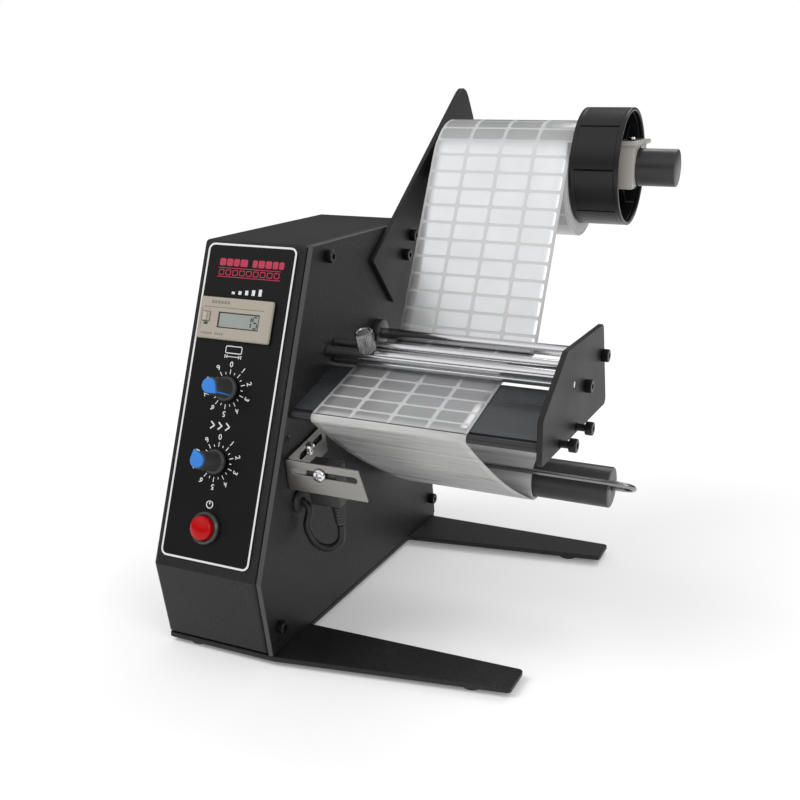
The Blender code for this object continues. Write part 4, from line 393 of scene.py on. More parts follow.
def grained(name, colour, low, high, metallic=0.0, scale=900.0, depth=0.00005, dark=0.8, light=1.15,
            stretch=(1.0, 1.0, 1.0), blotch=18.0, strength=1.0, **settings):
    """A finish with fine grain: colour and roughness vary a little, and the grain stands up by depth."""
    found = bpy.data.materials.get(name)
    if found:
        return found
    made = new_material(name, colour, (low + high) / 2, metallic, **settings)
    grain = use_group(made, grain_group(), Scale=scale, Blotch_Scale=blotch, Stretch=stretch)
    tone = mix_colours(made, grain.outputs["Shade"], shade_of(colour, dark), shade_of(colour, light))
    worn = mix_colours(made, grain.outputs["Blotch"], shade_of(colour, (dark + 1) / 2), tone)
    feed(made, "Base Color", worn)
    feed(made, "Roughness", spread(made, grain.outputs["Blotch"], low, high))
    bump(made, grain.outputs["Height"], depth, strength)
    return made


def coat():
    return grained("textured_coat", colours().coat, 0.46, 0.56, scale=800.0, depth=0.00022, dark=0.35, light=2.3,
                   Specular_IOR_Level=0.34)


def edge_highlight_coat():
    """The coat of the side plate, paler on its cut edges: a painted highlight where the edges face the light."""
    found = bpy.data.materials.get("textured_coat_edge_highlight")
    if found:
        return found
    made = coat().copy()
    made.name = "textured_coat_edge_highlight"
    tree = made.node_tree
    shader = tree.nodes["Principled BSDF"]
    plain = shader.inputs["Base Color"].links[0].from_socket
    facing = tree.nodes.new("ShaderNodeNewGeometry")
    split = tree.nodes.new("ShaderNodeSeparateXYZ")
    tree.links.new(facing.outputs["True Normal"], split.inputs[0])
    # Mask of the plate's edge faces, which take the painted highlight.
    rim = add_math(tree, "LESS_THAN", add_math(tree, "ABSOLUTE", split.outputs["X"]), 0.8)
    feed(made, "Base Color", mix_colours(made, rim, plain, shade_of(colours().coat, 5.0)))
    return made


def black_oxide():
    return grained("oxide_finish", (0.012, 0.012, 0.013), 0.32, 0.46, 0.5, scale=1200.0, depth=0.00002)


def chrome():
    return grained("chrome_finish", (0.74, 0.74, 0.755), 0.13, 0.18, 1.0, scale=500.0, depth=0.0000002,
                   dark=0.95, light=1.03)


def wire_steel():
    return grained("wire_steel", (0.33, 0.325, 0.32), 0.2, 0.3, 1.0, scale=500.0, depth=0.000001,
                   dark=0.85, light=1.1)


def stainless():
    return grained("stainless_finish", (0.34, 0.33, 0.312), 0.3, 0.44, 1.0, scale=420.0, depth=0.00001,
                   dark=0.85, light=1.1, stretch=(0.15, 1.0, 6.0))


def anodised():
    return grained("anodised_finish", (0.034, 0.034, 0.036), 0.28, 0.4, 0.35, scale=700.0, depth=0.00001,
                   stretch=(6.0, 1.0, 1.0))


def plate_black():
    return grained("plate_black", (0.1, 0.104, 0.112), 0.24, 0.36, 0.6, scale=500.0, depth=0.000008,
                   stretch=(0.2, 4.0, 4.0))


def black_plastic():
    return grained("moulded_black", (0.02, 0.02, 0.021), 0.34, 0.46, scale=1100.0, depth=0.00003)


def cup_plastic():
    return grained("cup_plastic", (0.008, 0.008, 0.0085), 0.3, 0.4, scale=900.0, depth=0.00002,
                   Specular_IOR_Level=0.38)


def rubber():
    return grained("rubber_finish", (0.018, 0.018, 0.018), 0.6, 0.75, scale=1400.0, depth=0.00005)


def brass():
    return grained("machined_brass", (0.55, 0.4, 0.16), 0.25, 0.4, 1.0, scale=300.0, depth=0.00001)


def ink(name, colour):
    return grained(name, colour, 0.4, 0.5, scale=800.0, depth=0.000005, dark=0.9, light=1.05)


def backing_and_roll_shade(made):
    """1 where light comes through the web, 0 where it lies on the black plate, and also 0 near the roll's top, by
    height; near the roll's top this is painted shade, as the roll curves away from the light.
    """
    tree = made.node_tree
    place = tree.nodes.new("ShaderNodeTexCoord")
    split = tree.nodes.new("ShaderNodeSeparateXYZ")
    tree.links.new(place.outputs["Object"], split.inputs[0])
    plate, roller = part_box("peel_plate")[1].z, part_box("rear_roller")[1].z
    top = ROLL_MIDDLE.y + ROLL_RADIUS
    free = []
    # The first range darkens the web over the black plate; the second is painted shade on the web near the roll's top.
    for start, stop in ((plate + 2.0 * MM, roller), (top - 1.0 * MM, top - 16.0 * MM)):
        node = tree.nodes.new("ShaderNodeMapRange")
        node.inputs["From Min"].default_value = start
        node.inputs["From Max"].default_value = stop
        tree.links.new(split.outputs["Z"], node.inputs["Value"])
        free.append(node.outputs["Result"])
    return add_math(tree, "MULTIPLY", *free)


def label_material(name, top, gap, low, high, lit=False):
    """Printed web: silvery labels with a fine edge, on the paper that shows between them."""
    found = bpy.data.materials.get(name)
    if found:
        return found
    made = new_material(name, top, (low + high) / 2, Coat_Weight=0.3, Coat_Roughness=0.15)
    uv = made.node_tree.nodes.new("ShaderNodeUVMap")
    uv.uv_map = "web"
    given = sizes()
    grid = use_group(
        made, label_group(), Column_Pitch=given.column_pitch, Row_Pitch=given.row_pitch,
        Width=given.label_width, Length=given.label_length, Corner=given.label_corner,
    )
    made.node_tree.links.new(uv.outputs["UV"], grid.inputs["Place"])
    grain = use_group(made, grain_group(), Scale=300.0, Blotch_Scale=40.0)
    face = mix_colours(made, grain.outputs["Blotch"], shade_of(top, 0.92), top)
    if lit:
        # Labels and gaps darker over the black plate, with painted shade where the web leaves the roll's top.
        free = backing_and_roll_shade(made)
        face = mix_colours(made, free, shade_of(top, 0.56), face)
        gap = mix_colours(made, free, shade_of(gap, 0.9), gap)
    feed(made, "Base Color", mix_colours(made, grid.outputs["Mask"], gap, face))
    feed(made, "Roughness", spread(made, grid.outputs["Mask"], high, low))
    feed(made, "Metallic", spread(made, grid.outputs["Mask"], 0.0, 0.5))
    height = add_math(made.node_tree, "MULTIPLY_ADD", grain.outputs["Blotch"], 0.12, grid.outputs["Mask"])
    bump(made, height, 0.00012)
    return made


def liner_material(name="bare_liner", colour=None):
    """Glassine after the labels have gone: soft streaks across it, as creases in the bump and as painted sheen, lighter
    and darker bands in the colour that stand for reflections off them.
    """
    found = bpy.data.materials.get(name)
    if found:
        return found
    colour = colour or colours().liner
    made = new_material(name, colour, 0.36, Coat_Weight=0.25, Coat_Roughness=0.25)
    sheen_streak = use_group(made, grain_group(), Scale=160.0, Blotch_Scale=110.0, Stretch=(0.1, 1.0, 1.6))
    # Painted sheen: lighter and darker bands in the colour stand for reflections off the creases.
    tone = mix_colours(made, sheen_streak.outputs["Blotch"], shade_of(colour, 0.62), shade_of(colour, 1.3))
    feed(made, "Base Color", mix_colours(made, sheen_streak.outputs["Shade"], tone, shade_of(colour, 1.1)))
    feed(made, "Roughness", spread(made, sheen_streak.outputs["Blotch"], 0.25, 0.5))
    bump(made, sheen_streak.outputs["Blotch"], 0.0012, 0.8)
    return made


def wound_material(name, colour, spot, pitch):
    """The end of a winding: each turn is a fine ring of its own shade."""
    made = bpy.data.materials.get(name)
    if made:
        return made
    made = new_material(name, colour, 0.6)
    turns = use_group(made, turns_group(), Axis=(0, CORNER.y + spot[0], spot[1]), Pitch=pitch)
    dark, light = shade_of(colour, 0.78), shade_of(colour, 1.1)
    feed(made, "Base Color", mix_colours(made, turns.outputs["Shade"], dark, light))
    feed(made, "Roughness", spread(made, turns.outputs["Shade"], 0.5, 0.7))
    bump(made, turns.outputs["Height"], 0.0001)
    return made


# Mesh helpers


def finish_piece(name, made, finishes, body, replaces=(), sharp=math.radians(32)):
    """Turns a bmesh into a shown piece on its body, standing for the CAD nodes that it replaces."""
    mesh = bpy.data.meshes.new(name)
    made.to_mesh(mesh)
    made.free()
    for finish in finishes if isinstance(finishes, (list, tuple)) else [finishes]:
        mesh.materials.append(finish)
    mesh.shade_smooth()
    mesh.set_sharp_from_angle(angle=sharp)
    piece = bpy.data.objects.new(name, mesh)
    bpy.context.scene.collection.objects.link(piece)
    if body:
        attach(piece, body)
    if replaces:
        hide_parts(*replaces)
    return piece


def merged(*parts):
    """One bmesh that holds several."""
    whole = bmesh.new()
    for part in parts:
        mesh = bpy.data.meshes.new("part")
        part.to_mesh(mesh)
        part.free()
        whole.from_mesh(mesh)
        bpy.data.meshes.remove(mesh)
    return whole


def ease(made, offset, segments=2, angle=math.radians(50)):
    """Rounds every edge that is sharper than angle."""
    sharp = [e for e in made.edges if len(e.link_faces) == 2 and e.calc_face_angle(0) > angle]
    bmesh.ops.bevel(
        made, geom=sharp, offset=offset, segments=segments, profile=0.5, affect="EDGES", material=-1,
        clamp_overlap=True,
    )
    return made


def lathe(profile, place, steps, closed=False, eased=0.0, segments=2):
    """Spins a profile of (radius, height) about Z, rounds its edges, and puts it in place."""
    made = bmesh.new()
    verts = [made.verts.new((radius, 0, height)) for radius, height in profile]
    ends = list(zip(verts, verts[1:])) + ([(verts[-1], verts[0])] if closed else [])
    edges = [made.edges.new(pair) for pair in ends]
    bmesh.ops.spin(
        made, geom=verts + edges, cent=(0, 0, 0), axis=(0, 0, 1), angle=math.tau, steps=steps, use_merge=True
    )
    bmesh.ops.remove_doubles(made, verts=made.verts, dist=1e-7)
    bmesh.ops.recalc_face_normals(made, faces=made.faces)
    if eased:
        ease(made, eased, segments)
    made.transform(place)
    made.normal_update()
    return made


def sector(profile, start, sweep, place, steps):
    """Part of a turn of a closed profile of (radius, height), with flat ends."""
    made = bmesh.new()
    verts = [
        made.verts.new((radius * math.cos(start), radius * math.sin(start), height)) for radius, height in profile
    ]
    face = made.faces.new(verts)
    bmesh.ops.spin(made, geom=[face], cent=(0, 0, 0), axis=(0, 0, 1), angle=sweep, steps=steps)
    bmesh.ops.remove_doubles(made, verts=made.verts, dist=1e-7)
    bmesh.ops.recalc_face_normals(made, faces=made.faces)
    ease(made, 0.00015, 1)
    made.transform(place)
    return made


def block(size, middle=(0, 0, 0), place=Matrix(), eased=0.0, segments=2):
    """A box whose edges are rounded."""
    made = bmesh.new()
    bmesh.ops.create_cube(made, size=1)
    bmesh.ops.scale(made, vec=size, verts=made.verts)
    bmesh.ops.translate(made, vec=middle, verts=made.verts)
    if eased:
        ease(made, eased, segments)
    made.transform(place)
    return made


def rod_mesh(radius, low, high, spot, steps, eased=0.0003):
    profile = [(0, high - low), (radius, high - low), (radius, 0), (0, 0)]
    return lathe(profile, along_x(low, spot), steps, eased=eased)


def slab(loop, thickness, place, eased=0.0, segments=2):
    """A flat piece from a loop of (x, y), rising along Z by thickness."""
    made = bmesh.new()
    face = made.faces.new([made.verts.new((x, y, 0)) for x, y in loop])
    grown = bmesh.ops.extrude_face_region(made, geom=[face])
    top = [item for item in grown["geom"] if isinstance(item, bmesh.types.BMVert)]
    bmesh.ops.translate(made, vec=(0, 0, thickness), verts=top)
    bmesh.ops.recalc_face_normals(made, faces=made.faces)
    if eased:
        ease(made, eased, segments)
    made.transform(place)
    return made


def rounded_loop(width, height, radius, steps=6, middle=(0.0, 0.0)):
    """A rounded rectangle about middle, anticlockwise."""
    loop = []
    corners = ((1, 1, 0), (-1, 1, 1), (-1, -1, 2), (1, -1, 3))
    for side, rise, quarter in corners:
        x = middle[0] + side * (width / 2 - radius)
        y = middle[1] + rise * (height / 2 - radius)
        for k in range(steps + 1):
            turn = math.pi / 2 * (quarter + k / steps)
            loop.append((x + radius * math.cos(turn), y + radius * math.sin(turn)))
    return loop


def band(outer, inner, thickness, place):
    """A flat band between two loops with the same count of points."""
    made = bmesh.new()
    loops = []
    for loop in (outer, inner):
        verts = [made.verts.new((x, y, thickness)) for x, y in loop]
        loops.append([made.edges.new(pair) for pair in zip(verts, verts[1:] + verts[:1])])
    bmesh.ops.bridge_loops(made, edges=loops[0] + loops[1])
    low = bmesh.ops.extrude_face_region(made, geom=made.faces[:])
    moved = [item for item in low["geom"] if isinstance(item, bmesh.types.BMVert)]
    bmesh.ops.translate(made, vec=(0, 0, -thickness), verts=moved)
    bmesh.ops.recalc_face_normals(made, faces=made.faces)
    made.transform(place)
    return made


def text_mesh(words, size, place, depth=0.00006):
    """Raised characters centred on place."""
    curve = bpy.data.curves.new("characters", "FONT")
    curve.body = words
    curve.size = size
    curve.align_x = "CENTER"
    curve.align_y = "CENTER"
    curve.extrude = depth / 2
    curve.offset = size * 0.012
    holder = bpy.data.objects.new("characters", curve)
    bpy.context.scene.collection.objects.link(holder)
    bpy.context.view_layer.update()
    mesh = bpy.data.meshes.new_from_object(holder.evaluated_get(bpy.context.evaluated_depsgraph_get()))
    bpy.data.objects.remove(holder)
    made = bmesh.new()
    made.from_mesh(mesh)
    bmesh.ops.remove_doubles(made, verts=made.verts, dist=1e-7)
    bmesh.ops.recalc_face_normals(made, faces=made.faces)
    made.transform(place @ Matrix.Translation((0, 0, depth / 2)))
    return made


def tube(points, radius, steps, name):
    """A round tube along the points, as a bmesh."""
    curve = bpy.data.curves.new(name, "CURVE")
    curve.dimensions = "3D"
    curve.bevel_depth = radius
    curve.bevel_resolution = steps
    curve.use_fill_caps = True
    spline = curve.splines.new("POLY")
    spline.points.add(len(points) - 1)
    for point, spot in zip(spline.points, points):
        point.co = (*spot, 1)
    holder = bpy.data.objects.new(name, curve)
    bpy.context.scene.collection.objects.link(holder)
    bpy.context.view_layer.update()
    mesh = bpy.data.meshes.new_from_object(holder.evaluated_get(bpy.context.evaluated_depsgraph_get()))
    bpy.data.objects.remove(holder)
    made = bmesh.new()
    made.from_mesh(mesh)
    bmesh.ops.remove_doubles(made, verts=made.verts, dist=1e-7)
    bmesh.ops.recalc_face_normals(made, faces=made.faces)
    return made


def smooth_route(points, between):
    """A Catmull-Rom curve through the points."""
    ends = [2 * points[0] - points[1], *points, 2 * points[-1] - points[-2]]
    route = []
    for a, b, c, d in zip(ends, ends[1:], ends[2:], ends[3:]):
        for k in range(between):
            t = k / between
            route.append(
                0.5 * (2 * b + (c - a) * t + (2 * a - 5 * b + 4 * c - d) * t**2 + (3 * b - a - 3 * c + d) * t**3)
            )
    route.append(points[-1])
    return route


def slot_on(piece_name, finish):
    """Gives a CAD node that is shown as it is a better finish."""
    node = frame["nodes"][piece_name]
    node.data.materials.clear()
    node.data.materials.append(finish)


# Paths of the web


def tangent_points(first, second):
    y1, z1, r1, t1 = first
    y2, z2, r2, t2 = second
    between = Vector((y2 - y1, z2 - z1))
    lean = math.asin((t1 * r1 - t2 * r2) / between.length)
    along = Matrix.Rotation(lean, 2) @ between.normalized()
    right = Vector((along.y, -along.x))
    return Vector((y1, z1)) + right * (t1 * r1), Vector((y2, z2)) + right * (t2 * r2)


def web_rounds():
    return [
        (*ROLL_MIDDLE, ROLL_RADIUS + WEB_STANDOFF, 1),
        (144.4 * MM, 164.1 * MM, 3.5 * MM + WEB_STANDOFF, -1),
        (87.4 * MM, 155.8 * MM, 0.6 * MM + WEB_STANDOFF, 1),
        (38.2 * MM, 140.4 * MM, 2.4 * MM + WEB_STANDOFF, 1),
        (*TAKE_UP_AXIS, WOUND_RADIUS + WEB_STANDOFF, 1),
    ]


def arc(round_, start, stop, steps):
    """Points round a round from start to stop, both places on it, the way that it turns the strip."""
    y, z, radius, turn = round_
    middle = Vector((y, z))
    first = math.atan2(*reversed(start - middle))
    last = math.atan2(*reversed(stop - middle))
    sweep = (last - first) * turn % math.tau
    angles = [first + turn * sweep * k / steps for k in range(steps + 1)]
    return [middle + radius * Vector((math.cos(a), math.sin(a))) for a in angles]


def turned_place(round_, place, turn):
    middle = Vector(round_[:2])
    return middle + Matrix.Rotation(turn, 2) @ (place - middle)


def strip_mesh(path, cuts):
    """A sheet along a path of (y, z) with its place on the web in the UV map named web."""
    made = bmesh.new()
    along = made.verts.layers.float.new("along")
    walked = 0.0
    verts = []
    for k, point in enumerate(path):
        walked += (point - path[k - 1]).length if k else 0.0
        vert = made.verts.new(CORNER + Vector((WEB_LEFT, point.x, point.y)))
        vert[along] = walked
        verts.append(vert)
    edges = [made.edges.new(pair) for pair in zip(verts, verts[1:])]
    for _ in range(cuts):
        grown = bmesh.ops.extrude_edge_only(made, edges=edges)
        moved = [item for item in grown["geom"] if isinstance(item, bmesh.types.BMVert)]
        edges = [item for item in grown["geom"] if isinstance(item, bmesh.types.BMEdge)
                 and all(v in moved for v in item.verts)]
        bmesh.ops.translate(made, vec=(WEB_WIDTH / cuts, 0, 0), verts=moved)
    uv = made.loops.layers.uv.new("web")
    for face in made.faces:
        for loop in face.loops:
            loop[uv].uv = (loop.vert.co.x - CORNER.x - WEB_LEFT, loop.vert[along])
    return made


def thicken(piece, thickness):
    step = piece.modifiers.new("thickness", "SOLIDIFY")
    step.thickness = thickness
    step.offset = 0
    step.use_even_offset = True


# Operators


class DressHousing(Operator):
    """Paints the plates and the folded cover, and sets the small countersunk screw and the pads"""

    bl_idname = "dispenser.dress_housing"
    bl_label = "Housing"

    def execute(self, context):
        for node in ("base_plate", "cover_shell", "roll_arm", "outer_plate"):
            slot_on(node, coat())
        # The side plate's coat has a painted highlight on its cut edges.
        slot_on("side_plate", edge_highlight_coat())
        for node in ("foot_pad_front", "foot_pad_rear", "box_pad_front", "box_pad_rear"):
            low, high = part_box(node)
            radius = (high.x - low.x) / 2
            middle = (low + high) / 2
            profile = [(0, high.z), (radius, high.z), (radius * 0.92, 0), (0, 0)]
            made = lathe(profile, Matrix.Translation((middle.x, middle.y, 0)), sizes().small_steps, eased=0.0005)
            finish_piece(node + "_moulded", made, rubber(), "frame", (node,))
        profile = [
            (0, 0.25), (0.5, 0.25), (1.0, 0.24), (1.5, 0.22), (2.6, 0.12), (2.9, 0.0), (2.9, -0.25), (0, -0.25),
        ]
        made = lathe([(r * MM, h * MM) for r, h in profile], Matrix(), sizes().small_steps)
        for vert in made.verts:
            near, far = sorted((abs(vert.co.x), abs(vert.co.y)))
            if vert.co.z > 0.2 * MM and near < 0.2 * MM and far < 1.6 * MM:
                vert.co.z -= 0.45 * MM
        made.transform(along_x(71.05 * MM, (33.5 * MM, 127.1 * MM)))
        finish_piece("countersunk_screw", made, black_oxide(), "frame")
        slot_on("power_inlet", black_plastic())
        self.rating_plate()
        return {"FINISHED"}

    def rating_plate(self):
        """A bare rating plate on the back wall: a foil with a ruled frame and plain lines."""
        lean = math.atan2(BOX_DEPTH - TOP_BACK, PANEL_TOP - BASE_TOP)
        rise = 75.0 * MM
        spot = CORNER + Vector((35.0 * MM, BOX_DEPTH - math.tan(lean) * (rise - BASE_TOP), rise))
        turn = Matrix.Rotation(math.pi, 4, "Z") @ Matrix.Rotation(math.pi / 2 - lean, 4, "X")
        place = Matrix.Translation(spot) @ turn
        foil = grained("rating_foil", (0.5, 0.5, 0.5), 0.3, 0.4, 0.7, scale=300.0, depth=0.000005)
        plate = slab(rounded_loop(40.0 * MM, 24.0 * MM, 1.5 * MM), 0.25 * MM, place, eased=0.00008)
        finish_piece("rating_plate", plate, foil, "frame")
        lift = place @ Matrix.Translation((0, 0, 0.25 * MM))
        outer = rounded_loop(38.0 * MM, 22.0 * MM, 1.0 * MM)
        inner = rounded_loop(37.4 * MM, 21.4 * MM, 0.7 * MM)
        parts = [band(outer, inner, 0.03 * MM, lift)]
        for k in range(5):
            size = ((32.0, 26.0, 30.0, 18.0, 24.0)[k] * MM, 0.7 * MM, 0.03 * MM)
            middle = (size[0] / 2 - 16.0 * MM, (7.2 - 3.6 * k) * MM, size[2] / 2)
            parts.append(block(size, middle, lift))
        finish_piece("rating_lines", merged(*parts), ink("plate_ink", (0.03, 0.03, 0.03)), "frame")


class BuildPanel(Operator):
    """Prints the control panel: its frame line, two dials and plain marks"""

    bl_idname = "dispenser.build_panel"
    bl_label = "Panel print"

    def execute(self, context):
        given = sizes()
        film = grained("panel_film", colours().overlay, 0.34, 0.42, scale=1200.0, depth=0.00003, light=1.3,
                       Specular_IOR_Level=0.3)
        slot_on("panel_overlay", film)
        face = 0.9 * MM
        line = given.frame_line
        middle = on_panel(33.3 * MM, 91.75 * MM, face)
        outer = rounded_loop(58.2 * MM, 179.7 * MM, 4.0 * MM)
        inner = rounded_loop(58.2 * MM - 2 * line, 179.7 * MM - 2 * line, 4.0 * MM - line)
        parts = [band(outer, inner, 0.06 * MM, middle)]
        for down in (84.2 * MM, 125.3 * MM):
            parts += self.dial(down, face)
        parts += self.marks(face)
        white = ink("white_ink", colours().ink)
        finish_piece("panel_print", merged(*parts), white, "frame")
        red = ink("title_ink", colours().title)
        finish_piece("title_print", merged(*self.title(face)), red, "frame")
        return {"FINISHED"}

    def dial(self, down, face):
        given = sizes()
        parts = []
        for k in range(20):
            turn = -math.tau * k / 20
            spoke = on_panel(31.5 * MM, down, face) @ Matrix.Rotation(turn, 4, "Z")
            length = (2.6 if k % 2 == 0 else 1.3) * MM
            if k not in (15,):
                parts.append(block((0.5 * MM, length, 0.06 * MM), (0, 8.6 * MM + length / 2, 0.03 * MM), spoke))
            if k % 2 == 0:
                place = spoke @ Matrix.Translation((0, given.dial_radius, 0))
                parts.append(text_mesh(str(k // 2), given.digit_height, place))
        return parts

    def marks(self, face):
        """Plain marks beside each control: a count of steps, a measured label, chevrons and the power sign."""
        parts = []
        thin = 0.06 * MM
        for k in range(5):
            size = (2.0 * MM, (1.4 + 0.6 * k) * MM, thin)
            parts.append(block(size, ((k - 2) * 4.4 * MM, size[1] / 2, thin / 2), on_panel(34.0 * MM, 30.6 * MM, face)))
        label = on_panel(31.5 * MM, 62.0 * MM, face)
        outer = rounded_loop(11.0 * MM, 4.4 * MM, 1.0 * MM)
        inner = rounded_loop(10.0 * MM, 3.4 * MM, 0.5 * MM)
        parts.append(band(outer, inner, thin, label))
        parts.append(block((8.0 * MM, 0.4 * MM, thin), (0, -3.9 * MM, thin / 2), label))
        for side in (-1, 1):
            parts.append(block((0.5 * MM, 2.0 * MM, thin), (side * 5.2 * MM, -3.9 * MM, thin / 2), label))
            for lean in (-1, 1):
                turn = Matrix.Translation((side * 4.4 * MM, -3.9 * MM, 0)) @ Matrix.Rotation(lean * math.pi / 4, 4, "Z")
                parts.append(block((1.4 * MM, 0.4 * MM, thin), (-side * 0.5 * MM, 0, thin / 2), label @ turn))
        for k in range(3):
            spot = on_panel((26.5 + 5.0 * k) * MM, 105.2 * MM, face)
            for lean in (-1, 1):
                turn = Matrix.Rotation(lean * math.radians(40), 4, "Z")
                parts.append(block((3.4 * MM, 0.8 * MM, thin), (-1.5 * MM, 0, thin / 2), spot @ turn))
        power = on_panel(31.5 * MM, 149.2 * MM, face)
        parts.append(block((0.6 * MM, 2.2 * MM, thin), (0, 1.2 * MM, thin / 2), power))
        for k in range(16):
            turn = Matrix.Rotation(math.radians(35 + (290 / 15) * k), 4, "Z")
            parts.append(block((0.75 * MM, 0.6 * MM, thin), (0, 2.0 * MM, thin / 2), power @ turn))
        return parts

    def title(self, face):
        """Plain blocks, and a row of outlined ones between two lines, where a heading would stand."""
        thin = 0.06 * MM
        parts = []
        left = 13.2
        for wide in (4.1, 4.1, 3.7, 4.9, 0, 3.2, 4.1, 4.1, 3.5, 3.2):
            if wide:
                loop = rounded_loop(wide * MM, 4.2 * MM, 0.9 * MM, 4, ((left + wide / 2) * MM, 0))
                parts.append(slab(loop, thin, on_panel(0, 12.6 * MM, face)))
            left += (wide or 2.0) + 0.6
        for down, wide in ((15.9, 41.0), (21.0, 41.6)):
            parts.append(block((wide * MM, 0.4 * MM, thin), (0, 0, thin / 2), on_panel(33.4 * MM, down * MM, face)))
        for k in range(9):
            loop_at = on_panel((15.2 + 4.55 * k) * MM, 18.45 * MM, face)
            outer = rounded_loop(3.6 * MM, 3.3 * MM, 0.8 * MM)
            inner = rounded_loop(2.7 * MM, 2.4 * MM, 0.5 * MM)
            parts.append(band(outer, inner, thin, loop_at))
        return parts


class BuildCounter(Operator):
    """Builds the counter: its case, screen, digits and reset slide"""

    bl_idname = "dispenser.build_counter"
    bl_label = "Counter"

    def execute(self, context):
        case = grained("counter_case", colours().counter, 0.4, 0.52, scale=900.0, depth=0.00003, dark=0.93, light=1.04)
        slot_on("counter_body", case)
        slot_on("reset_button", case)
        glass = new_material("counter_screen", colours().screen, 0.12, Coat_Weight=0.6, Coat_Roughness=0.04)
        grain = use_group(glass, grain_group(), Scale=120.0, Blotch_Scale=60.0)
        dim = shade_of(colours().screen, 0.9)
        feed(glass, "Base Color", mix_colours(glass, grain.outputs["Blotch"], dim, colours().screen))
        slot_on("counter_window", glass)
        corner = on_panel(6.3 * MM, 33.2 * MM, PANEL_FACE + 2.6 * MM)
        dark = ink("counter_ink_and_slot_shade", (0.05, 0.05, 0.045))
        screen = corner @ Matrix.Translation((13.2 * MM, -8.3 * MM, -0.28 * MM))
        parts = []
        for k, digit in enumerate("15"):
            parts += self.digit(digit, screen @ Matrix.Translation(((20.4 + 4.0 * k) * MM, -4.65 * MM, 0)))
        finish_piece("counter_digits", merged(*parts), dark, "frame")
        well = [
            (26.5, 0.7, 13.55, -0.35), (0.7, 8.5, 0.65, -4.55),
            (26.5, 0.35, 13.55, -8.6), (0.35, 8.5, 26.6, -4.55),
        ]
        frame = [
            block((wide * MM, tall * MM, 0.02 * MM), (x * MM, y * MM, 0.01 * MM), screen)
            for wide, tall, x, y in well
        ]
        finish_piece("counter_well", merged(*frame), ink("well_shadow", (0.03, 0.03, 0.028)), "frame")
        # The groove in the case is drawn as thin dark lines: painted shade in the groove.
        groove = ink("groove_shadow", shade_of(colours().counter, 0.45))
        groove_shade = merged(
            block((39.5 * MM, 0.35 * MM, 0.05 * MM), (22.9 * MM, -5.9 * MM, 0.02 * MM), corner),
            block((0.3 * MM, 13.0 * MM, 0.05 * MM), (2.2 * MM, -12.6 * MM, 0.02 * MM), corner),
        )
        marks = []
        rows = ((8.4, 6, 2.1, 1.7, 3.0), (4.0, 5, 1.5, 1.1, 21.0), (13.0, 4, 1.5, 1.1, 21.0))
        for start, count, pitch, tall, down in rows:
            for k in range(count):
                middle = ((start + pitch * k) * MM, -down * MM, 0.01 * MM)
                marks.append(block((0.72 * pitch * MM, tall * MM, 0.03 * MM), middle, corner))
        small = ink("counter_print", shade_of(colours().counter, 0.55))
        finish_piece("counter_marks", merged(*marks), small, "frame")
        # A dark block below the reset slide stands for its slot: painted shade in the opening.
        slot = block((2.6 * MM, 1.5 * MM, 0.05 * MM), (5.6 * MM, -15.4 * MM, 0.02 * MM), corner)
        slide = block((2.4 * MM, 4.8 * MM, 1.5 * MM), (5.1 * MM, -11.5 * MM, 0.7 * MM), corner, eased=0.0003)
        pale = grained("slide_pale", shade_of(colours().counter, 1.15), 0.4, 0.5, scale=900.0, depth=0.00002)
        finish_piece("reset_slide", slide, pale, "reset_button")
        finish_piece("counter_groove_shade", groove_shade, groove, "frame")
        finish_piece("counter_slot_shade", slot, dark, "frame")
        return {"FINISHED"}

    def digit(self, digit, place):
        """A seven-segment digit whose middle is at place."""
        lit = {"1": "bc", "5": "afgcd"}[digit]
        wide, tall, bar = 2.8 * MM, 6.3 * MM, 0.78 * MM
        spots = {
            "a": (0, tall / 2, True), "g": (0, 0, True), "d": (0, -tall / 2, True),
            "f": (-wide / 2, tall / 4, False), "b": (wide / 2, tall / 4, False),
            "e": (-wide / 2, -tall / 4, False), "c": (wide / 2, -tall / 4, False),
        }
        parts = []
        for segment in lit:
            x, y, level = spots[segment]
            size = (wide - bar, bar, 0.02 * MM) if level else (bar, tall / 2 - bar, 0.02 * MM)
            parts.append(block(size, (x, y, 0.01 * MM), place))
        return parts


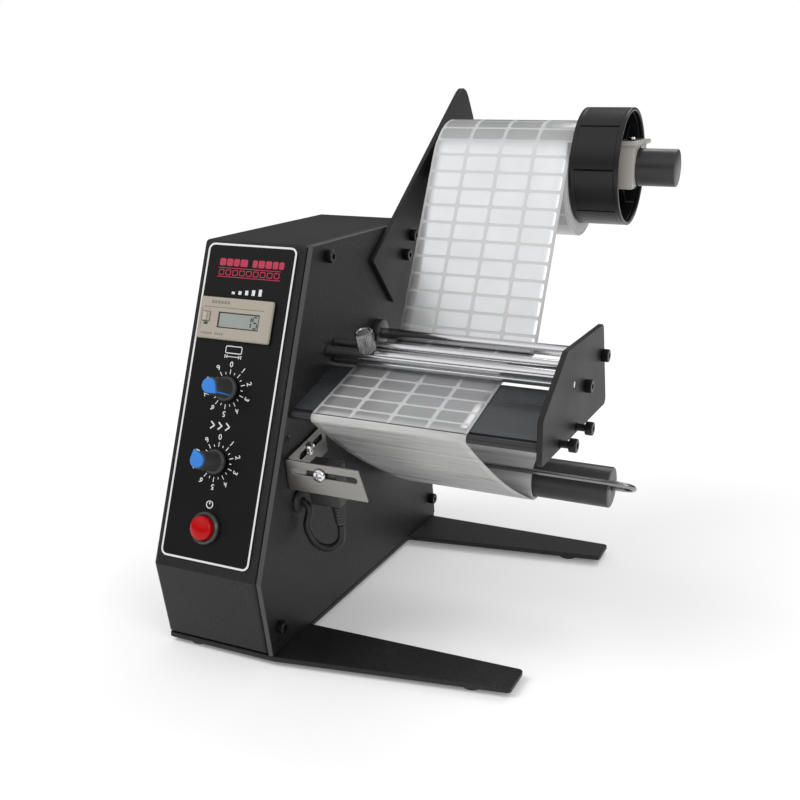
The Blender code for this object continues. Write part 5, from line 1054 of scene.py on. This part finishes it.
class BuildKnobs(Operator):
    """Builds the two dials' knobs: a skirted black body, a blue cap and its pointer"""

    bl_idname = "dispenser.build_knobs"
    bl_label = "Knobs"

    def execute(self, context):
        body_finish = grained("knob_black", (0.03, 0.03, 0.031), 0.36, 0.48, scale=1000.0, depth=0.00003)
        blue = grained("cap_blue", colours().cap, 0.34, 0.46, scale=900.0, depth=0.00002, dark=0.92, light=1.06)
        for name, down, setting in (("length", 84.2 * MM, 126), ("speed", 125.3 * MM, 336)):
            turn = Matrix.Rotation(math.radians(90 - setting), 4, "Z")
            place = on_panel(31.5 * MM, down, PANEL_FACE + 0.9 * MM) @ turn
            body = name + "_knob"
            made = self.body(place)
            finish_piece(name + "_knob_body", made, body_finish, body, (body,))
            finish_piece(name + "_knob_cap", self.cap(place), blue, body)
        return {"FINISHED"}

    def body(self, place):
        profile = [(0, 16.6), (4.9, 16.6), (5.6, 2.6), (6.9, 2.0), (7.1, 0), (3.4, 0), (3.4, 12), (0, 12)]
        profile = [(r * MM, h * MM) for r, h in profile]
        made = lathe(profile, Matrix(), 96, eased=0.00035)
        for vert in made.verts:
            radius = math.hypot(vert.co.x, vert.co.y)
            if radius > 4.7 * MM and 3.2 * MM < vert.co.z < 16.0 * MM:
                turn = math.atan2(vert.co.y, vert.co.x)
                ridge = 1 - 0.012 * (0.5 + 0.5 * math.cos(turn * 24))
                vert.co.x *= ridge
                vert.co.y *= ridge
        made.transform(place)
        return made

    def cap(self, place):
        tip, radius = 6.6 * MM, 4.15 * MM
        half = math.acos(radius / tip)
        loop = [(tip, 0)]
        for k in range(41):
            turn = half + (math.tau - 2 * half) * k / 40
            loop.append((radius * math.cos(turn), radius * math.sin(turn)))
        lift = Matrix.Translation((0, 0, 16.4 * MM))
        cap = slab(loop, 2.3 * MM, place @ lift, eased=0.0005, segments=3)
        lean = math.atan2(0.7, 14.0)
        rail = Matrix.Translation((5.25 * MM, 0, 9.6 * MM)) @ Matrix.Rotation(-lean, 4, "Y")
        line = block((0.5 * MM, 0.9 * MM, 14.0 * MM), (0, 0, 0), place @ rail, eased=0.00012)
        return merged(cap, line)


class BuildSwitch(Operator):
    """Builds the power switch: a dark rim and a domed red button"""

    bl_idname = "dispenser.build_switch"
    bl_label = "Power switch"

    def execute(self, context):
        rim = grained("switch_rim", (0.06, 0.06, 0.063), 0.26, 0.36, 0.3, scale=900.0, depth=0.00001)
        place = on_panel(31.5 * MM, 162.4 * MM)
        face, top = PANEL_FACE, PANEL_FACE + 3.0 * MM
        profile = [
            (7.2 * MM, top), (8.0 * MM, top), (9.0 * MM, top - 1.0 * MM), (9.0 * MM, face),
            (7.9 * MM, face), (7.9 * MM, -22 * MM), (0, -22 * MM), (0, top - 9.5 * MM), (7.2 * MM, top - 9.5 * MM),
        ]
        made = lathe(profile, place, 96, closed=True, eased=0.0002)
        finish_piece("power_switch_rim", made, rim, "frame", ("power_switch",))
        red = grained("button_red", colours().button, 0.16, 0.24, scale=500.0, depth=0.000008, dark=0.9, light=1.1,
                      Specular_IOR_Level=0.25)
        dome = []
        for k in range(13):
            turn = math.pi / 2 * (1 - k / 12)
            dome.append((6.8 * MM * math.cos(turn), top + 1.9 * MM + 2.6 * MM * math.sin(turn)))
        made = lathe([*dome, (6.8 * MM, top - 6 * MM), (0, top - 6 * MM)], place, 96)
        finish_piece("power_button_dome", made, red, "power_button", ("power_button",))
        return {"FINISHED"}


class BuildScrews(Operator):
    """Builds each screw with its drive and knurl"""

    bl_idname = "dispenser.build_screws"
    bl_label = "Screws"

    def execute(self, context):
        grips = {
            "side_screw_top": 6.0, "side_screw_bottom": 6.0, "side_screw_back": 6.0,
            "arm_screw_upper": 6.0, "arm_screw_lower": 6.0,
            "roller_screw": 0.0, "lower_bolt_rear": 0.0, "lower_bolt_front": 0.0, "support_screw": 0.0,
        }
        for node, grip in grips.items():
            low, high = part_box(node)
            spot = (low + high) / 2
            head = Matrix.Translation((high.x - 4.0 * MM, spot.y, spot.z)) @ TO_X
            shank = high.x - 4.0 * MM - low.x
            made = self.socket_screw(head, shank if grip == 0.0 else grip * MM)
            finish_piece(node + "_cut", made, black_oxide(), "frame", (node,))
        return {"FINISHED"}

    def socket_screw(self, place, grip):
        head, socket = 3.75 * MM, 1.75 * MM
        profile = [
            (0, 1.9), (socket / MM, 2.0), (socket / MM, 4.0), (3.35, 4.0), (3.75, 3.6), (3.75, 0.2), (3.6, 0),
            (2.0, 0), (2.0, -grip / MM), (0, -grip / MM),
        ]
        made = lathe([(r * MM, h * MM) for r, h in profile], Matrix(), 48)
        for vert in made.verts:
            radius = math.hypot(vert.co.x, vert.co.y)
            turn = math.atan2(vert.co.y, vert.co.x)
            if abs(radius - socket) < 1e-5:
                share = math.cos(math.pi / 6) / math.cos(turn % (math.pi / 3) - math.pi / 6)
            elif abs(radius - head) < 1e-5:
                share = 1 - 0.035 * (round(turn / math.tau * 48) % 2)
            else:
                continue
            vert.co.x *= share
            vert.co.y *= share
        made.transform(place)
        return made


class BuildRollShaft(Operator):
    """Builds the roll's shaft, the slit cup beside the roll and the split clamp"""

    bl_idname = "dispenser.build_roll_shaft"
    bl_label = "Roll shaft"

    def execute(self, context):
        steps = sizes().fine_steps
        low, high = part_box("roll_shaft")
        made = rod_mesh(11.5 * MM, low.x - CORNER.x, high.x - CORNER.x, ROLL_AXIS, steps, eased=0.0009)
        finish_piece("roll_shaft_turned", made, anodised(), "frame", ("roll_shaft",))
        finish_piece("core_cup_moulded", self.cup(), cup_plastic(), "core_cup", ("core_cup",))
        finish_piece("clamp_moulded", self.clamp(), self.clamp_finish(), "shaft_clamp",
                     ("shaft_clamp",))
        low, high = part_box("clamp_screw")
        spot = (low + high) / 2
        profile = [(0, 1.5), (1.9, 1.4), (2.4, 0.9), (2.4, 0), (0.4, 0), (0.4, -1.5), (0, -1.5)]
        place = Matrix.Translation((spot.x, spot.y, high.z - 1.6 * MM))
        made = lathe([(r * MM, h * MM) for r, h in profile], place, 48)
        finish_piece("clamp_screw_turned", made, chrome(), "shaft_clamp", ("clamp_screw",))
        return {"FINISHED"}

    def clamp_finish(self):
        return grained("clamp_grey", colours().clamp, 0.42, 0.55, scale=700.0, depth=0.00003, dark=0.93, light=1.04)

    def cup(self):
        """The drum: a wall in sectors between its slits, a floor, a hub and ribs."""
        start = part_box("core_cup")[0].x - CORNER.x
        place = along_x(start, ROLL_AXIS)
        outer, wall, shoulder = 36.0 * MM, 2.2 * MM, 3.0 * MM
        hub = [
            (outer - wall, shoulder), (outer, shoulder), (outer, 0), (11.9 * MM, 0), (11.9 * MM, 22.0 * MM),
            (14.9 * MM, 22.0 * MM), (14.9 * MM, shoulder),
        ]
        parts = [lathe(hub, place, 128, closed=True, eased=0.0004)]
        half = 0.45 * MM / outer
        low, high = shoulder - 0.1 * MM, 27.0 * MM
        rim = [(outer - wall, low), (outer, low), (outer, high), (outer - wall, high)]
        for k in range(8):
            turn = math.tau * k / 8
            parts.append(sector(rim, turn + half, math.tau / 8 - 2 * half, place, 16))
        low, high = 27.0 * MM, 30.0 * MM
        rim = [(outer - wall, low), (outer, low), (outer, high), (outer - wall, high)]
        parts.append(lathe(rim, place, 128, closed=True, eased=0.0004))
        for k in range(4):
            turn = Matrix.Rotation(math.tau * (k + 0.5) / 4, 4, "Z")
            parts.append(block((19.2 * MM, 2.0 * MM, 19.0 * MM), (24.3 * MM, 0, 12.4 * MM), place @ turn, eased=0.0003))
        return merged(*parts)

    def clamp(self):
        """The split clamp, lofted from its outline with the bore and the split in it."""
        low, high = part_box("shaft_clamp")
        start = low.x - CORNER.x
        wide, tall, rise, bore, gap = 34.0 * MM, 29.0 * MM, 2.0 * MM, 11.8 * MM, 0.8 * MM
        top = rise + tall / 2
        first = math.asin(gap / bore)
        loop = [(gap, top)]
        corners = [(wide / 2, top), (wide / 2, rise - tall / 2), (-wide / 2, rise - tall / 2), (-wide / 2, top)]
        loop += [(x, y) for x, y in corners] + [(-gap, top)]
        for k in range(49):
            turn = math.pi / 2 + first + (math.tau - 2 * first) * k / 48
            loop.append((bore * math.cos(turn), bore * math.sin(turn)))
        frame_turn = Matrix(((0, 0, 1, 0), (1, 0, 0, 0), (0, 1, 0, 0), (0, 0, 0, 1)))
        place = Matrix.Translation(CORNER + Vector((start, ROLL_AXIS.x, ROLL_AXIS.y))) @ frame_turn
        parts = [slab([(x, y) for x, y in reversed(loop)], 12.0 * MM, place, eased=0.0009)]
        reach = 2.2 * MM
        for side in (-1, 1):
            size = (wide / 2 + reach - gap, 2.8 * MM, 14.2 * MM)
            middle = (side * (gap + size[0] / 2), top - size[1] / 2, size[2] / 2)
            parts.append(block(size, middle, place, eased=0.0006))
        return merged(*parts)


class BuildLabels(Operator):
    """Builds the label roll, the web of labels, the bare liner and the liner wound on the take-up"""

    bl_idname = "dispenser.build_labels"
    bl_label = "Labels and liner"

    def execute(self, context):
        label = colours().label
        face = label_material("label_print", label, shade_of(label, 0.76), 0.3, 0.45, lit=True)
        # The roll's print is a darker copy of the web's: painted shade, as the roll's face curves away from the light.
        wound = label_material("roll_print_painted_shade", shade_of(label, 0.6), shade_of(label, 0.66), 0.3, 0.45)
        edge = wound_material("roll_edge", (0.6, 0.6, 0.6), ROLL_MIDDLE, 0.35 * MM)
        finish_piece("label_roll_wound", self.roll(), [wound, edge], "label_roll",
                             ("label_roll",))
        card = grained("core_card", (0.42, 0.31, 0.2), 0.75, 0.85, scale=700.0, depth=0.00006)
        low, high = 20.0 * MM, 22.0 * MM
        profile = [(low, WEB_WIDTH), (high, WEB_WIDTH), (high, 0), (low, 0)]
        made = lathe(profile, along_x(WEB_LEFT, ROLL_MIDDLE), sizes().fine_steps, closed=True, eased=0.0002)
        finish_piece("label_core_card", made, card, "label_roll", ("label_core",))
        piece = finish_piece("label_web_printed", strip_mesh(self.web_path(), 12), face, "frame",
                             ("label_web",), sharp=math.radians(60))
        thicken(piece, 0.3 * MM)
        bare = liner_material()
        piece = finish_piece("liner_bare", self.liner(), bare, "frame", ("liner_return",),
                             sharp=math.radians(60))
        thicken(piece, 0.3 * MM)
        ends = wound_material("wound_edge", (0.5, 0.5, 0.5), TAKE_UP_AXIS, 0.25 * MM)
        inner = 12.8 * MM
        profile = [(inner, WEB_WIDTH), (WOUND_RADIUS, WEB_WIDTH), (WOUND_RADIUS, 0), (inner, 0)]
        made = lathe(profile, along_x(WEB_LEFT, TAKE_UP_AXIS), sizes().fine_steps, closed=True, eased=0.0003)
        for f in made.faces:
            f.material_index = int(abs(f.normal.x) > 0.7)
        finish_piece("wound_liner_turns", made, [bare, ends], "take_up", ("wound_liner",))
        return {"FINISHED"}

    def web_path(self):
        rounds = web_rounds()
        spans = [tangent_points(a, b) for a, b in zip(rounds, rounds[1:])]
        start = turned_place(rounds[0], spans[0][0], -math.radians(16))
        lead = arc(rounds[0], start, spans[0][0], 16)
        middle = Vector(rounds[0][:2])
        path = []
        for k, point in enumerate(lead):
            out = (point - middle).normalized()
            sunk = 0.75 * MM * (1 - k / 16) ** 2
            path.append(point - out * sunk)
        for k in (1, 2):
            path += self.span(path[-1], spans[k - 1][1], 14)
            path += arc(rounds[k], spans[k - 1][1], spans[k][0], 12)[1:]
        path += self.span(path[-1], spans[2][1], 10)
        return path

    def span(self, start, stop, steps):
        return [start.lerp(stop, k / steps) for k in range(1, steps + 1)]

    def liner(self):
        """The liner round the peel bar and back to the take-up, with its slack and a few soft waves."""
        rounds = web_rounds()
        arrive = tangent_points(rounds[2], rounds[3])[1]
        leave, reach = tangent_points(rounds[3], rounds[4])
        arrive = turned_place(rounds[3], arrive, 0.25)
        path = arc(rounds[3], arrive, leave, 14)
        steps = 40
        for k in range(1, steps):
            share = k / steps
            path.append(leave.lerp(reach, share) - Vector((0, 4.5 * MM * 4 * share * (1 - share))))
        path += arc(rounds[4], reach, turned_place(rounds[4], reach, math.radians(16)), 8)
        made = strip_mesh(path, 18)
        for vert in made.verts:
            y, z = vert.co.y - CORNER.y, vert.co.z
            share = max(0.0, min(1.0, (y - 50 * MM) / (40 * MM)))
            share *= max(0.0, min(1.0, (145 * MM - y) / (30 * MM)))
            wave = noise.noise(Vector((vert.co.x * 30, y * 12, 1.7)))
            vert.co.z += 1.1 * MM * share * wave
        return made

    def roll(self):
        """The roll as one ring whose outer face carries the label grid in step with the web."""
        inner = 22.3 * MM
        profile = [(inner, WEB_WIDTH), (ROLL_RADIUS, WEB_WIDTH), (ROLL_RADIUS, 0), (inner, 0)]
        made = lathe(profile, along_x(WEB_LEFT, ROLL_MIDDLE), 160, closed=True, eased=0.0002)
        rounds = web_rounds()
        leave = tangent_points(rounds[0], rounds[1])[0] - ROLL_MIDDLE
        zero = math.atan2(leave.y, leave.x) - math.radians(16)
        uv = made.loops.layers.uv.new("web")
        for face in made.faces:
            face.material_index = int(abs(face.normal.x) > 0.7)
            middle = face.calc_center_median()
            base = math.atan2(middle.z - ROLL_MIDDLE.y, middle.y - CORNER.y - ROLL_MIDDLE.x)
            for loop in face.loops:
                co = loop.vert.co
                turn = math.atan2(co.z - ROLL_MIDDLE.y, co.y - CORNER.y - ROLL_MIDDLE.x)
                turn = base + (turn - base + math.pi) % math.tau - math.pi
                pace = ROLL_RADIUS + WEB_STANDOFF
                loop[uv].uv = (co.x - CORNER.x - WEB_LEFT, (turn - zero) * pace)
        return made


class BuildRods(Operator):
    """Builds the rods, the rollers, the peel bar and plate, and the knurled thumb screw"""

    bl_idname = "dispenser.build_rods"
    bl_label = "Rods"

    def execute(self, context):
        steps = sizes().small_steps
        rods = (
            ("middle_rod", 3.0, "frame", chrome(), "polished_chrome"),
            ("front_rod", 3.1, "frame", chrome(), "polished_chrome"),
            ("support_rod", 3.0, "frame", chrome(), "polished_chrome"),
            ("rear_roller", 3.5, "rear_roller", chrome(), "polished_chrome"),
            ("hold_down_roller", 3.0, "hold_down_roller", chrome(), "polished_chrome"),
            ("peel_bar", 2.4, "frame", anodised(), "black_anodised"),
            ("roller_hub", 8.7, "frame", anodised(), "black_anodised"),
        )
        for node, radius, body, finish, slot in rods:
            low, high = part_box(node)
            spot = ((low.y + high.y) / 2 - CORNER.y, (low.z + high.z) / 2)
            start, end = low.x - CORNER.x, high.x - CORNER.x
            if node == "hold_down_roller":
                profile = [
                    (0, 147.5), (1.8, 147.5), (1.8, 144.1), (3.0, 144.1),
                    (3.0, 3.7), (1.8, 3.7), (1.8, 0), (0, 0),
                ]
                made = lathe([(r * MM, h * MM) for r, h in profile], along_x(start, spot), steps, eased=0.0002)
            else:
                made = rod_mesh(radius * MM, start, end, spot, steps)
            finish_piece(node + "_turned", made, finish, body, (node,))
        slot_on("peel_plate", plate_black())
        self.thumb_screw()
        return {"FINISHED"}

    def thumb_screw(self):
        """The straight-knurled head with a rounded top, on its stem."""
        tilt = Matrix.Rotation(math.radians(22), 4, "X")
        place = Matrix.Translation(at(97.5, 80.7, 166.8)) @ tilt
        foot = 3.3
        profile = [
            (0, foot + 11.9), (3.6, foot + 11.9), (4.1, foot + 12.5), (4.9, foot + 12.3), (5.3, foot + 11.7),
            (5.3, foot + 0.8), (4.6, foot), (2.0, foot), (2.0, -1.8), (0, -1.8),
        ]
        made = lathe([(r * MM, h * MM) for r, h in profile], Matrix(), 96)
        for vert in made.verts:
            radius = math.hypot(vert.co.x, vert.co.y)
            if abs(radius - 5.3 * MM) < 1e-5:
                turn = round(math.atan2(vert.co.y, vert.co.x) / math.tau * 96)
                share = 1 - 0.06 * (turn % 3 == 0)
                vert.co.x *= share
                vert.co.y *= share
        made.transform(place)
        finish_piece("thumb_screw_knurled", made, wire_steel(), "thumb_screw", ("thumb_screw",))


class BuildTakeUp(Operator):
    """Builds the take-up shaft, its bush and the wire clip"""

    bl_idname = "dispenser.build_take_up"
    bl_label = "Take-up"

    def execute(self, context):
        low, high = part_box("take_up_shaft")
        length = (high.x - low.x) / MM
        shoulder = 73.5 - (low.x - CORNER.x) / MM
        profile = [
            (2.0, length), (12.5, length), (12.5, shoulder), (5.0, shoulder), (5.0, 0), (0, 0),
            (0, length - 68.0), (2.0, length - 68.0),
        ]
        place = along_x(low.x - CORNER.x, TAKE_UP_AXIS)
        made = lathe([(r * MM, h * MM) for r, h in profile], place, sizes().fine_steps, closed=True, eased=0.0007)
        finish_piece("take_up_shaft_turned", made, anodised(), "take_up", ("take_up_shaft",))
        slot_on("take_up_bush", brass())
        radius = (12.5 + 2.0 + 0.3 + 1.6) * MM
        rise = math.radians(30)
        out = Vector((0, -math.cos(rise), math.sin(rise)))
        middle = CORNER + Vector((0, TAKE_UP_AXIS.x, TAKE_UP_AXIS.y))
        points = [middle + Vector((125.0 * MM, 0, 0)) + out * radius]
        for k in range(25):
            turn = math.pi * k / 24
            along = Vector((228.5 * MM + radius / 2 * math.sin(turn), 0, 0))
            points.append(middle + along + out * (radius / 2 * (1 + math.cos(turn))))
        points.append(middle + Vector((160.0 * MM, 0, 0)))
        made = tube(points, 1.6 * MM, 6, "liner_clip_wire")
        finish_piece("liner_clip_bent", made, wire_steel(), "liner_clip", ("liner_clip",))
        return {"FINISHED"}


class BuildSensor(Operator):
    """Builds the slotted bracket, the sensor with its boot, its screws and its lead"""

    bl_idname = "dispenser.build_sensor"
    bl_label = "Sensor"

    def execute(self, context):
        finish_piece("sensor_bracket_bent", self.bracket(), stainless(), "frame",
                     ("sensor_bracket",))
        turn = BRACKET @ Matrix.Translation((1.5 * MM, 24.5 * MM, -6.5 * MM)) @ TO_X
        finish_piece("bracket_screw_cross", self.cross_screw(turn), chrome(), "frame",
                     ("bracket_screw",))
        to_front = Matrix.Rotation(math.pi / 2, 4, "X")
        turn = BRACKET @ Matrix.Translation((21.0 * MM, -0.3 * MM, -6.5 * MM)) @ to_front
        finish_piece("sensor_screw_cross", self.cross_screw(turn), chrome(), "sensor",
                     ("sensor_screw",))
        finish_piece("sensor_moulded", self.sensor(), black_plastic(), "sensor", ("sensor",))
        profile = [(2.5, 5.5), (4.8, 5.5), (7.0, 4.4), (7.0, 3.3), (4.8, 3.3), (4.8, 0), (2.5, 0)]
        made = lathe([(r * MM, h * MM) for r, h in profile], along_x(68.0 * MM, (43.5 * MM, 87.6 * MM)),
                     sizes().small_steps, closed=True, eased=0.0004)
        finish_piece("cable_grommet_moulded", made, rubber(), "frame", ("cable_grommet",))
        self.cable()
        return {"FINISHED"}

    def bracket(self):
        """A steel angle: the outlines of its two legs, each with a slot, and a round piece that fills the bend at the
        corner.
        """
        thick, wide = 1.2 * MM, 19.0 * MM
        side, front = 44.0 * MM, 49.0 * MM
        slot_drop, slot_half = 6.5 * MM, 1.9 * MM
        legs = []
        spots = (
            ((15.5, 38.5), side, Matrix(((0, 0, 1, 0), (1, 0, 0, 0), (0, 1, 0, 0), (0, 0, 0, 1)))),
            ((5.5, 42.0), front, Matrix.Translation((0, thick, 0)) @ Matrix.Rotation(math.pi / 2, 4, "X")),
        )
        for (first, last), length, turn in spots:
            chamfer = 4.0 * MM if length == front else 0
            outer = [(0, -wide), (length, -wide), (length - chamfer, 0), (0, 0)]
            made = bmesh.new()
            ring = [made.verts.new((x, y, 0)) for x, y in outer]
            hole = []
            for end, quarter in ((last, -0.5), (first, 0.5)):
                for k in range(13):
                    a = math.pi * (quarter + k / 12)
                    x = end * MM + slot_half * math.cos(a)
                    hole.append(made.verts.new((x, -slot_drop + slot_half * math.sin(a), 0)))
            edges = [made.edges.new(pair) for loop in (ring, hole) for pair in zip(loop, loop[1:] + loop[:1])]
            bmesh.ops.triangle_fill(made, use_beauty=True, use_dissolve=False, edges=edges)
            grown = bmesh.ops.extrude_face_region(made, geom=made.faces[:])
            top = [item for item in grown["geom"] if isinstance(item, bmesh.types.BMVert)]
            bmesh.ops.translate(made, vec=(0, 0, thick), verts=top)
            bmesh.ops.dissolve_limit(made, angle_limit=0.01, verts=made.verts, edges=made.edges)
            bmesh.ops.recalc_face_normals(made, faces=made.faces)
            ease(made, 0.0002, 1)
            made.transform(BRACKET @ turn)
            legs.append(made)
        corner = BRACKET @ Matrix.Translation((thick, thick, 0))
        bend = lathe([(0, 0), (thick, 0), (thick, -wide), (0, -wide)], corner, 48)
        return merged(*legs, bend)

    def cross_screw(self, place):
        """A domed screw head with a cross recess, above Z zero."""
        profile = [(0, 2.3)] + [(0.35 * k, 2.3 - 0.018 * (0.35 * k) ** 3) for k in range(1, 10)]
        profile += [(3.6, 1.2), (3.9, 0.5), (3.9, 0), (1.4, 0), (1.4, -4.0), (0, -4.0)]
        made = lathe([(r * MM, h * MM) for r, h in profile], Matrix(), 64)
        for vert in made.verts:
            near, far = sorted((abs(vert.co.x), abs(vert.co.y)))
            if vert.co.z > 1.4 * MM and near < 0.42 * MM and far < 2.3 * MM:
                vert.co.z -= 1.1 * MM
        made.transform(place)
        return made

    def sensor(self):
        """The moulded head behind the slot, its top notch and a ribbed boot."""
        tall, rise = 25.0 * MM, (3.5 - 21.5) / 2 * MM - 6.5 * MM
        middle = BRACKET @ Matrix.Translation((21.0 * MM, 7.5 * MM, rise))
        parts = [block((18.5 * MM, 12.0 * MM, tall), (0, 0, 0), middle, eased=0.0012, segments=3)]
        parts.append(block((10.0 * MM, 2.4 * MM, 0.5 * MM), (0, -3.4 * MM, tall / 2), middle, eased=0.0002))
        profile = [(0, 0)]
        for k in range(14):
            radius = 4.0 - 1.2 * k / 13 - (0.35 if k % 2 else 0.0)
            profile += [(radius, -k), (radius, -k - 1)]
        profile.append((0, -14.0))
        foot = middle @ Matrix.Translation((18.5 / 4 * MM, 0, -tall / 2 + 0.3 * MM))
        parts.append(lathe([(r * MM, h * MM) for r, h in profile], foot, 48))
        return merged(*parts)

    def cable(self):
        """The lead from the boot to the grommet, bending between the sensor and the side plate."""
        start, end = BRACKET @ BOOT_TIP, CORNER + CABLE_END
        last = len(CABLE_STRAY) - 1
        points = [
            start.lerp(end, k / last) + CABLE_DROP * Vector(stray) for k, stray in enumerate(CABLE_STRAY)
        ]
        route = smooth_route(points, 6)
        width = sizes().cable_width
        finish = grained("lead_black", (0.006, 0.006, 0.006), 0.4, 0.5, scale=1200.0, depth=0.00002)
        piece = finish_piece("sensor_lead", tube(route, width / 2, 5, "sensor_lead"), finish, None,
                             ("sensor_cable",))
        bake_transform(piece)


class DressInside(Operator):
    """Finishes the works inside the box"""

    bl_idname = "dispenser.dress_inside"
    bl_label = "Inside"

    def execute(self, context):
        board = grained("circuit_board", (0.02, 0.12, 0.05), 0.4, 0.5, scale=600.0, depth=0.00002)
        slot_on("circuit_board", board)
        for node in ("length_pot", "speed_pot", "gear_motor"):
            slot_on(node, stainless())
        for node in ("take_up_gear", "motor_pinion"):
            slot_on(node, brass())
        return {"FINISHED"}


class BuildStage(Operator):
    """Builds the floor, the lamps, the world and the camera"""

    bl_idname = "dispenser.build_stage"
    bl_label = "Stage"

    def execute(self, context):
        self.floor()
        self.world()
        self.lamps()
        self.camera()
        context.scene.view_settings.view_transform = "Standard"
        return {"FINISHED"}

    def floor(self):
        """A pale floor that keeps its shadow near the machine and turns white farther off."""
        made = bmesh.new()
        bmesh.ops.create_grid(made, x_segments=1, y_segments=1, size=8.0)
        mesh = bpy.data.meshes.new("floor")
        made.to_mesh(mesh)
        made.free()
        white = new_material("floor_white", (0.9, 0.9, 0.9), 0.8, Emission_Strength=1.0)
        tree = white.node_tree
        place = tree.nodes.new("ShaderNodeTexCoord")
        length = tree.nodes.new("ShaderNodeVectorMath")
        length.operation = "LENGTH"
        tree.links.new(place.outputs["Object"], length.inputs[0])
        far = add_math(tree, "MULTIPLY_ADD", length.outputs["Value"], 3.2, -0.75, clamp=True)
        feed(white, "Base Color", mix_colours(white, far, (0.9, 0.9, 0.9), (0.0, 0.0, 0.0)))
        feed(white, "Emission Color", mix_colours(white, far, (0.14, 0.14, 0.14), (1.0, 1.0, 1.0)))
        mesh.materials.append(white)
        floor = bpy.data.objects.new("floor", mesh)
        floor.location = (0, 0, -0.0002)
        bpy.context.scene.collection.objects.link(floor)

    def world(self):
        """White to the camera; softer as light, and with a darker horizon and back in reflections."""
        world = bpy.data.worlds.new("studio")
        bpy.context.scene.world = world
        world.use_nodes = True
        tree = world.node_tree
        background = tree.nodes["Background"]
        background.inputs["Color"].default_value = (1, 1, 1, 1)
        place = tree.nodes.new("ShaderNodeTexCoord")
        split = tree.nodes.new("ShaderNodeSeparateXYZ")
        tree.links.new(place.outputs["Generated"], split.inputs[0])
        rise = add_math(tree, "MULTIPLY_ADD", split.outputs["Z"], 2.4, -0.45, clamp=True)
        side = add_math(tree, "MULTIPLY_ADD", split.outputs["Y"], -0.5, 0.6, clamp=True)
        shown = add_math(tree, "MULTIPLY_ADD", add_math(tree, "MULTIPLY", rise, side), 1.0, 0.12)
        path = tree.nodes.new("ShaderNodeLightPath")
        seen = add_math(tree, "MAXIMUM", path.outputs["Is Camera Ray"], path.outputs["Is Transmission Ray"])
        shine = path.outputs["Is Glossy Ray"]
        other = add_math(tree, "MULTIPLY_ADD", shine, add_math(tree, "SUBTRACT", shown, 0.62), 0.62)
        rest = add_math(tree, "SUBTRACT", 1.0, other)
        tree.links.new(add_math(tree, "MULTIPLY_ADD", seen, rest, other), background.inputs["Strength"])

    def lamps(self):
        lamps = (
            ("key", (-0.9, -0.9, 1.5), 1.0, 15.0, False),
            ("fill", (1.4, -0.9, 0.9), 0.9, 6.0, True),
            ("back", (0.3, 1.2, 1.4), 0.9, 8.0, True),
        )
        for name, spot, size, power, shiny in lamps:
            lamp = bpy.data.lights.new(name, "AREA")
            lamp.shape = "SQUARE"
            lamp.size = size
            lamp.energy = power
            holder = bpy.data.objects.new(name, lamp)
            holder.location = spot
            holder.visible_glossy = shiny
            away = Vector(spot) - Vector((0, 0, 0.15))
            holder.rotation_euler = away.to_track_quat("Z", "Y").to_euler()
            bpy.context.scene.collection.objects.link(holder)

    def camera(self):
        lens = bpy.data.cameras.new("camera")
        lens.lens = 48.03
        lens.sensor_width = 36.0
        holder = bpy.data.objects.new("camera", lens)
        yaw, pitch, roll = math.radians(25.0), math.radians(16.46), math.radians(-0.24)
        forward = Vector((-math.sin(yaw) * math.cos(pitch), math.cos(yaw) * math.cos(pitch), -math.sin(pitch)))
        right = Vector((math.cos(yaw), math.sin(yaw), 0))
        up = right.cross(forward)
        across = math.cos(roll) * right + math.sin(roll) * up
        above = -math.sin(roll) * right + math.cos(roll) * up
        turn = Matrix((across, above, -forward)).transposed().to_4x4()
        holder.matrix_world = Matrix.Translation(at(361.7, -443.8, 313.5)) @ turn
        bpy.context.scene.collection.objects.link(holder)
        bpy.context.scene.camera = holder


OPERATORS = (
    DressHousing,
    BuildPanel,
    BuildCounter,
    BuildKnobs,
    BuildSwitch,
    BuildScrews,
    BuildRollShaft,
    BuildLabels,
    BuildRods,
    BuildTakeUp,
    BuildSensor,
    DressInside,
    BuildStage,
)


class DispenserPanel(Panel):
    """Lists the steps that dress the label dispenser"""

    bl_idname = "VIEW3D_PT_dispenser"
    bl_label = "Label dispenser"
    bl_space_type = "VIEW_3D"
    bl_region_type = "UI"
    bl_category = "Dispenser"

    def draw(self, context):
        for operator in OPERATORS:
            self.layout.operator(operator.bl_idname)
        for group in (context.scene.dispenser_sizes, context.scene.dispenser_colours):
            for name in group.__annotations__:
                self.layout.prop(group, name)


CLASSES = (DispenserSizes, DispenserColours, *OPERATORS, DispenserPanel)


def register():
    for cls in CLASSES:
        bpy.utils.register_class(cls)
    bpy.types.Scene.dispenser_sizes = PointerProperty(type=DispenserSizes)
    bpy.types.Scene.dispenser_colours = PointerProperty(type=DispenserColours)


def unregister():
    del bpy.types.Scene.dispenser_colours
    del bpy.types.Scene.dispenser_sizes
    for cls in reversed(CLASSES):
        bpy.utils.unregister_class(cls)


def main():
    register()
    for operator in OPERATORS:
        family, step = operator.bl_idname.split(".")
        getattr(getattr(bpy.ops, family), step)()


if __name__ == "__main__":
    main()
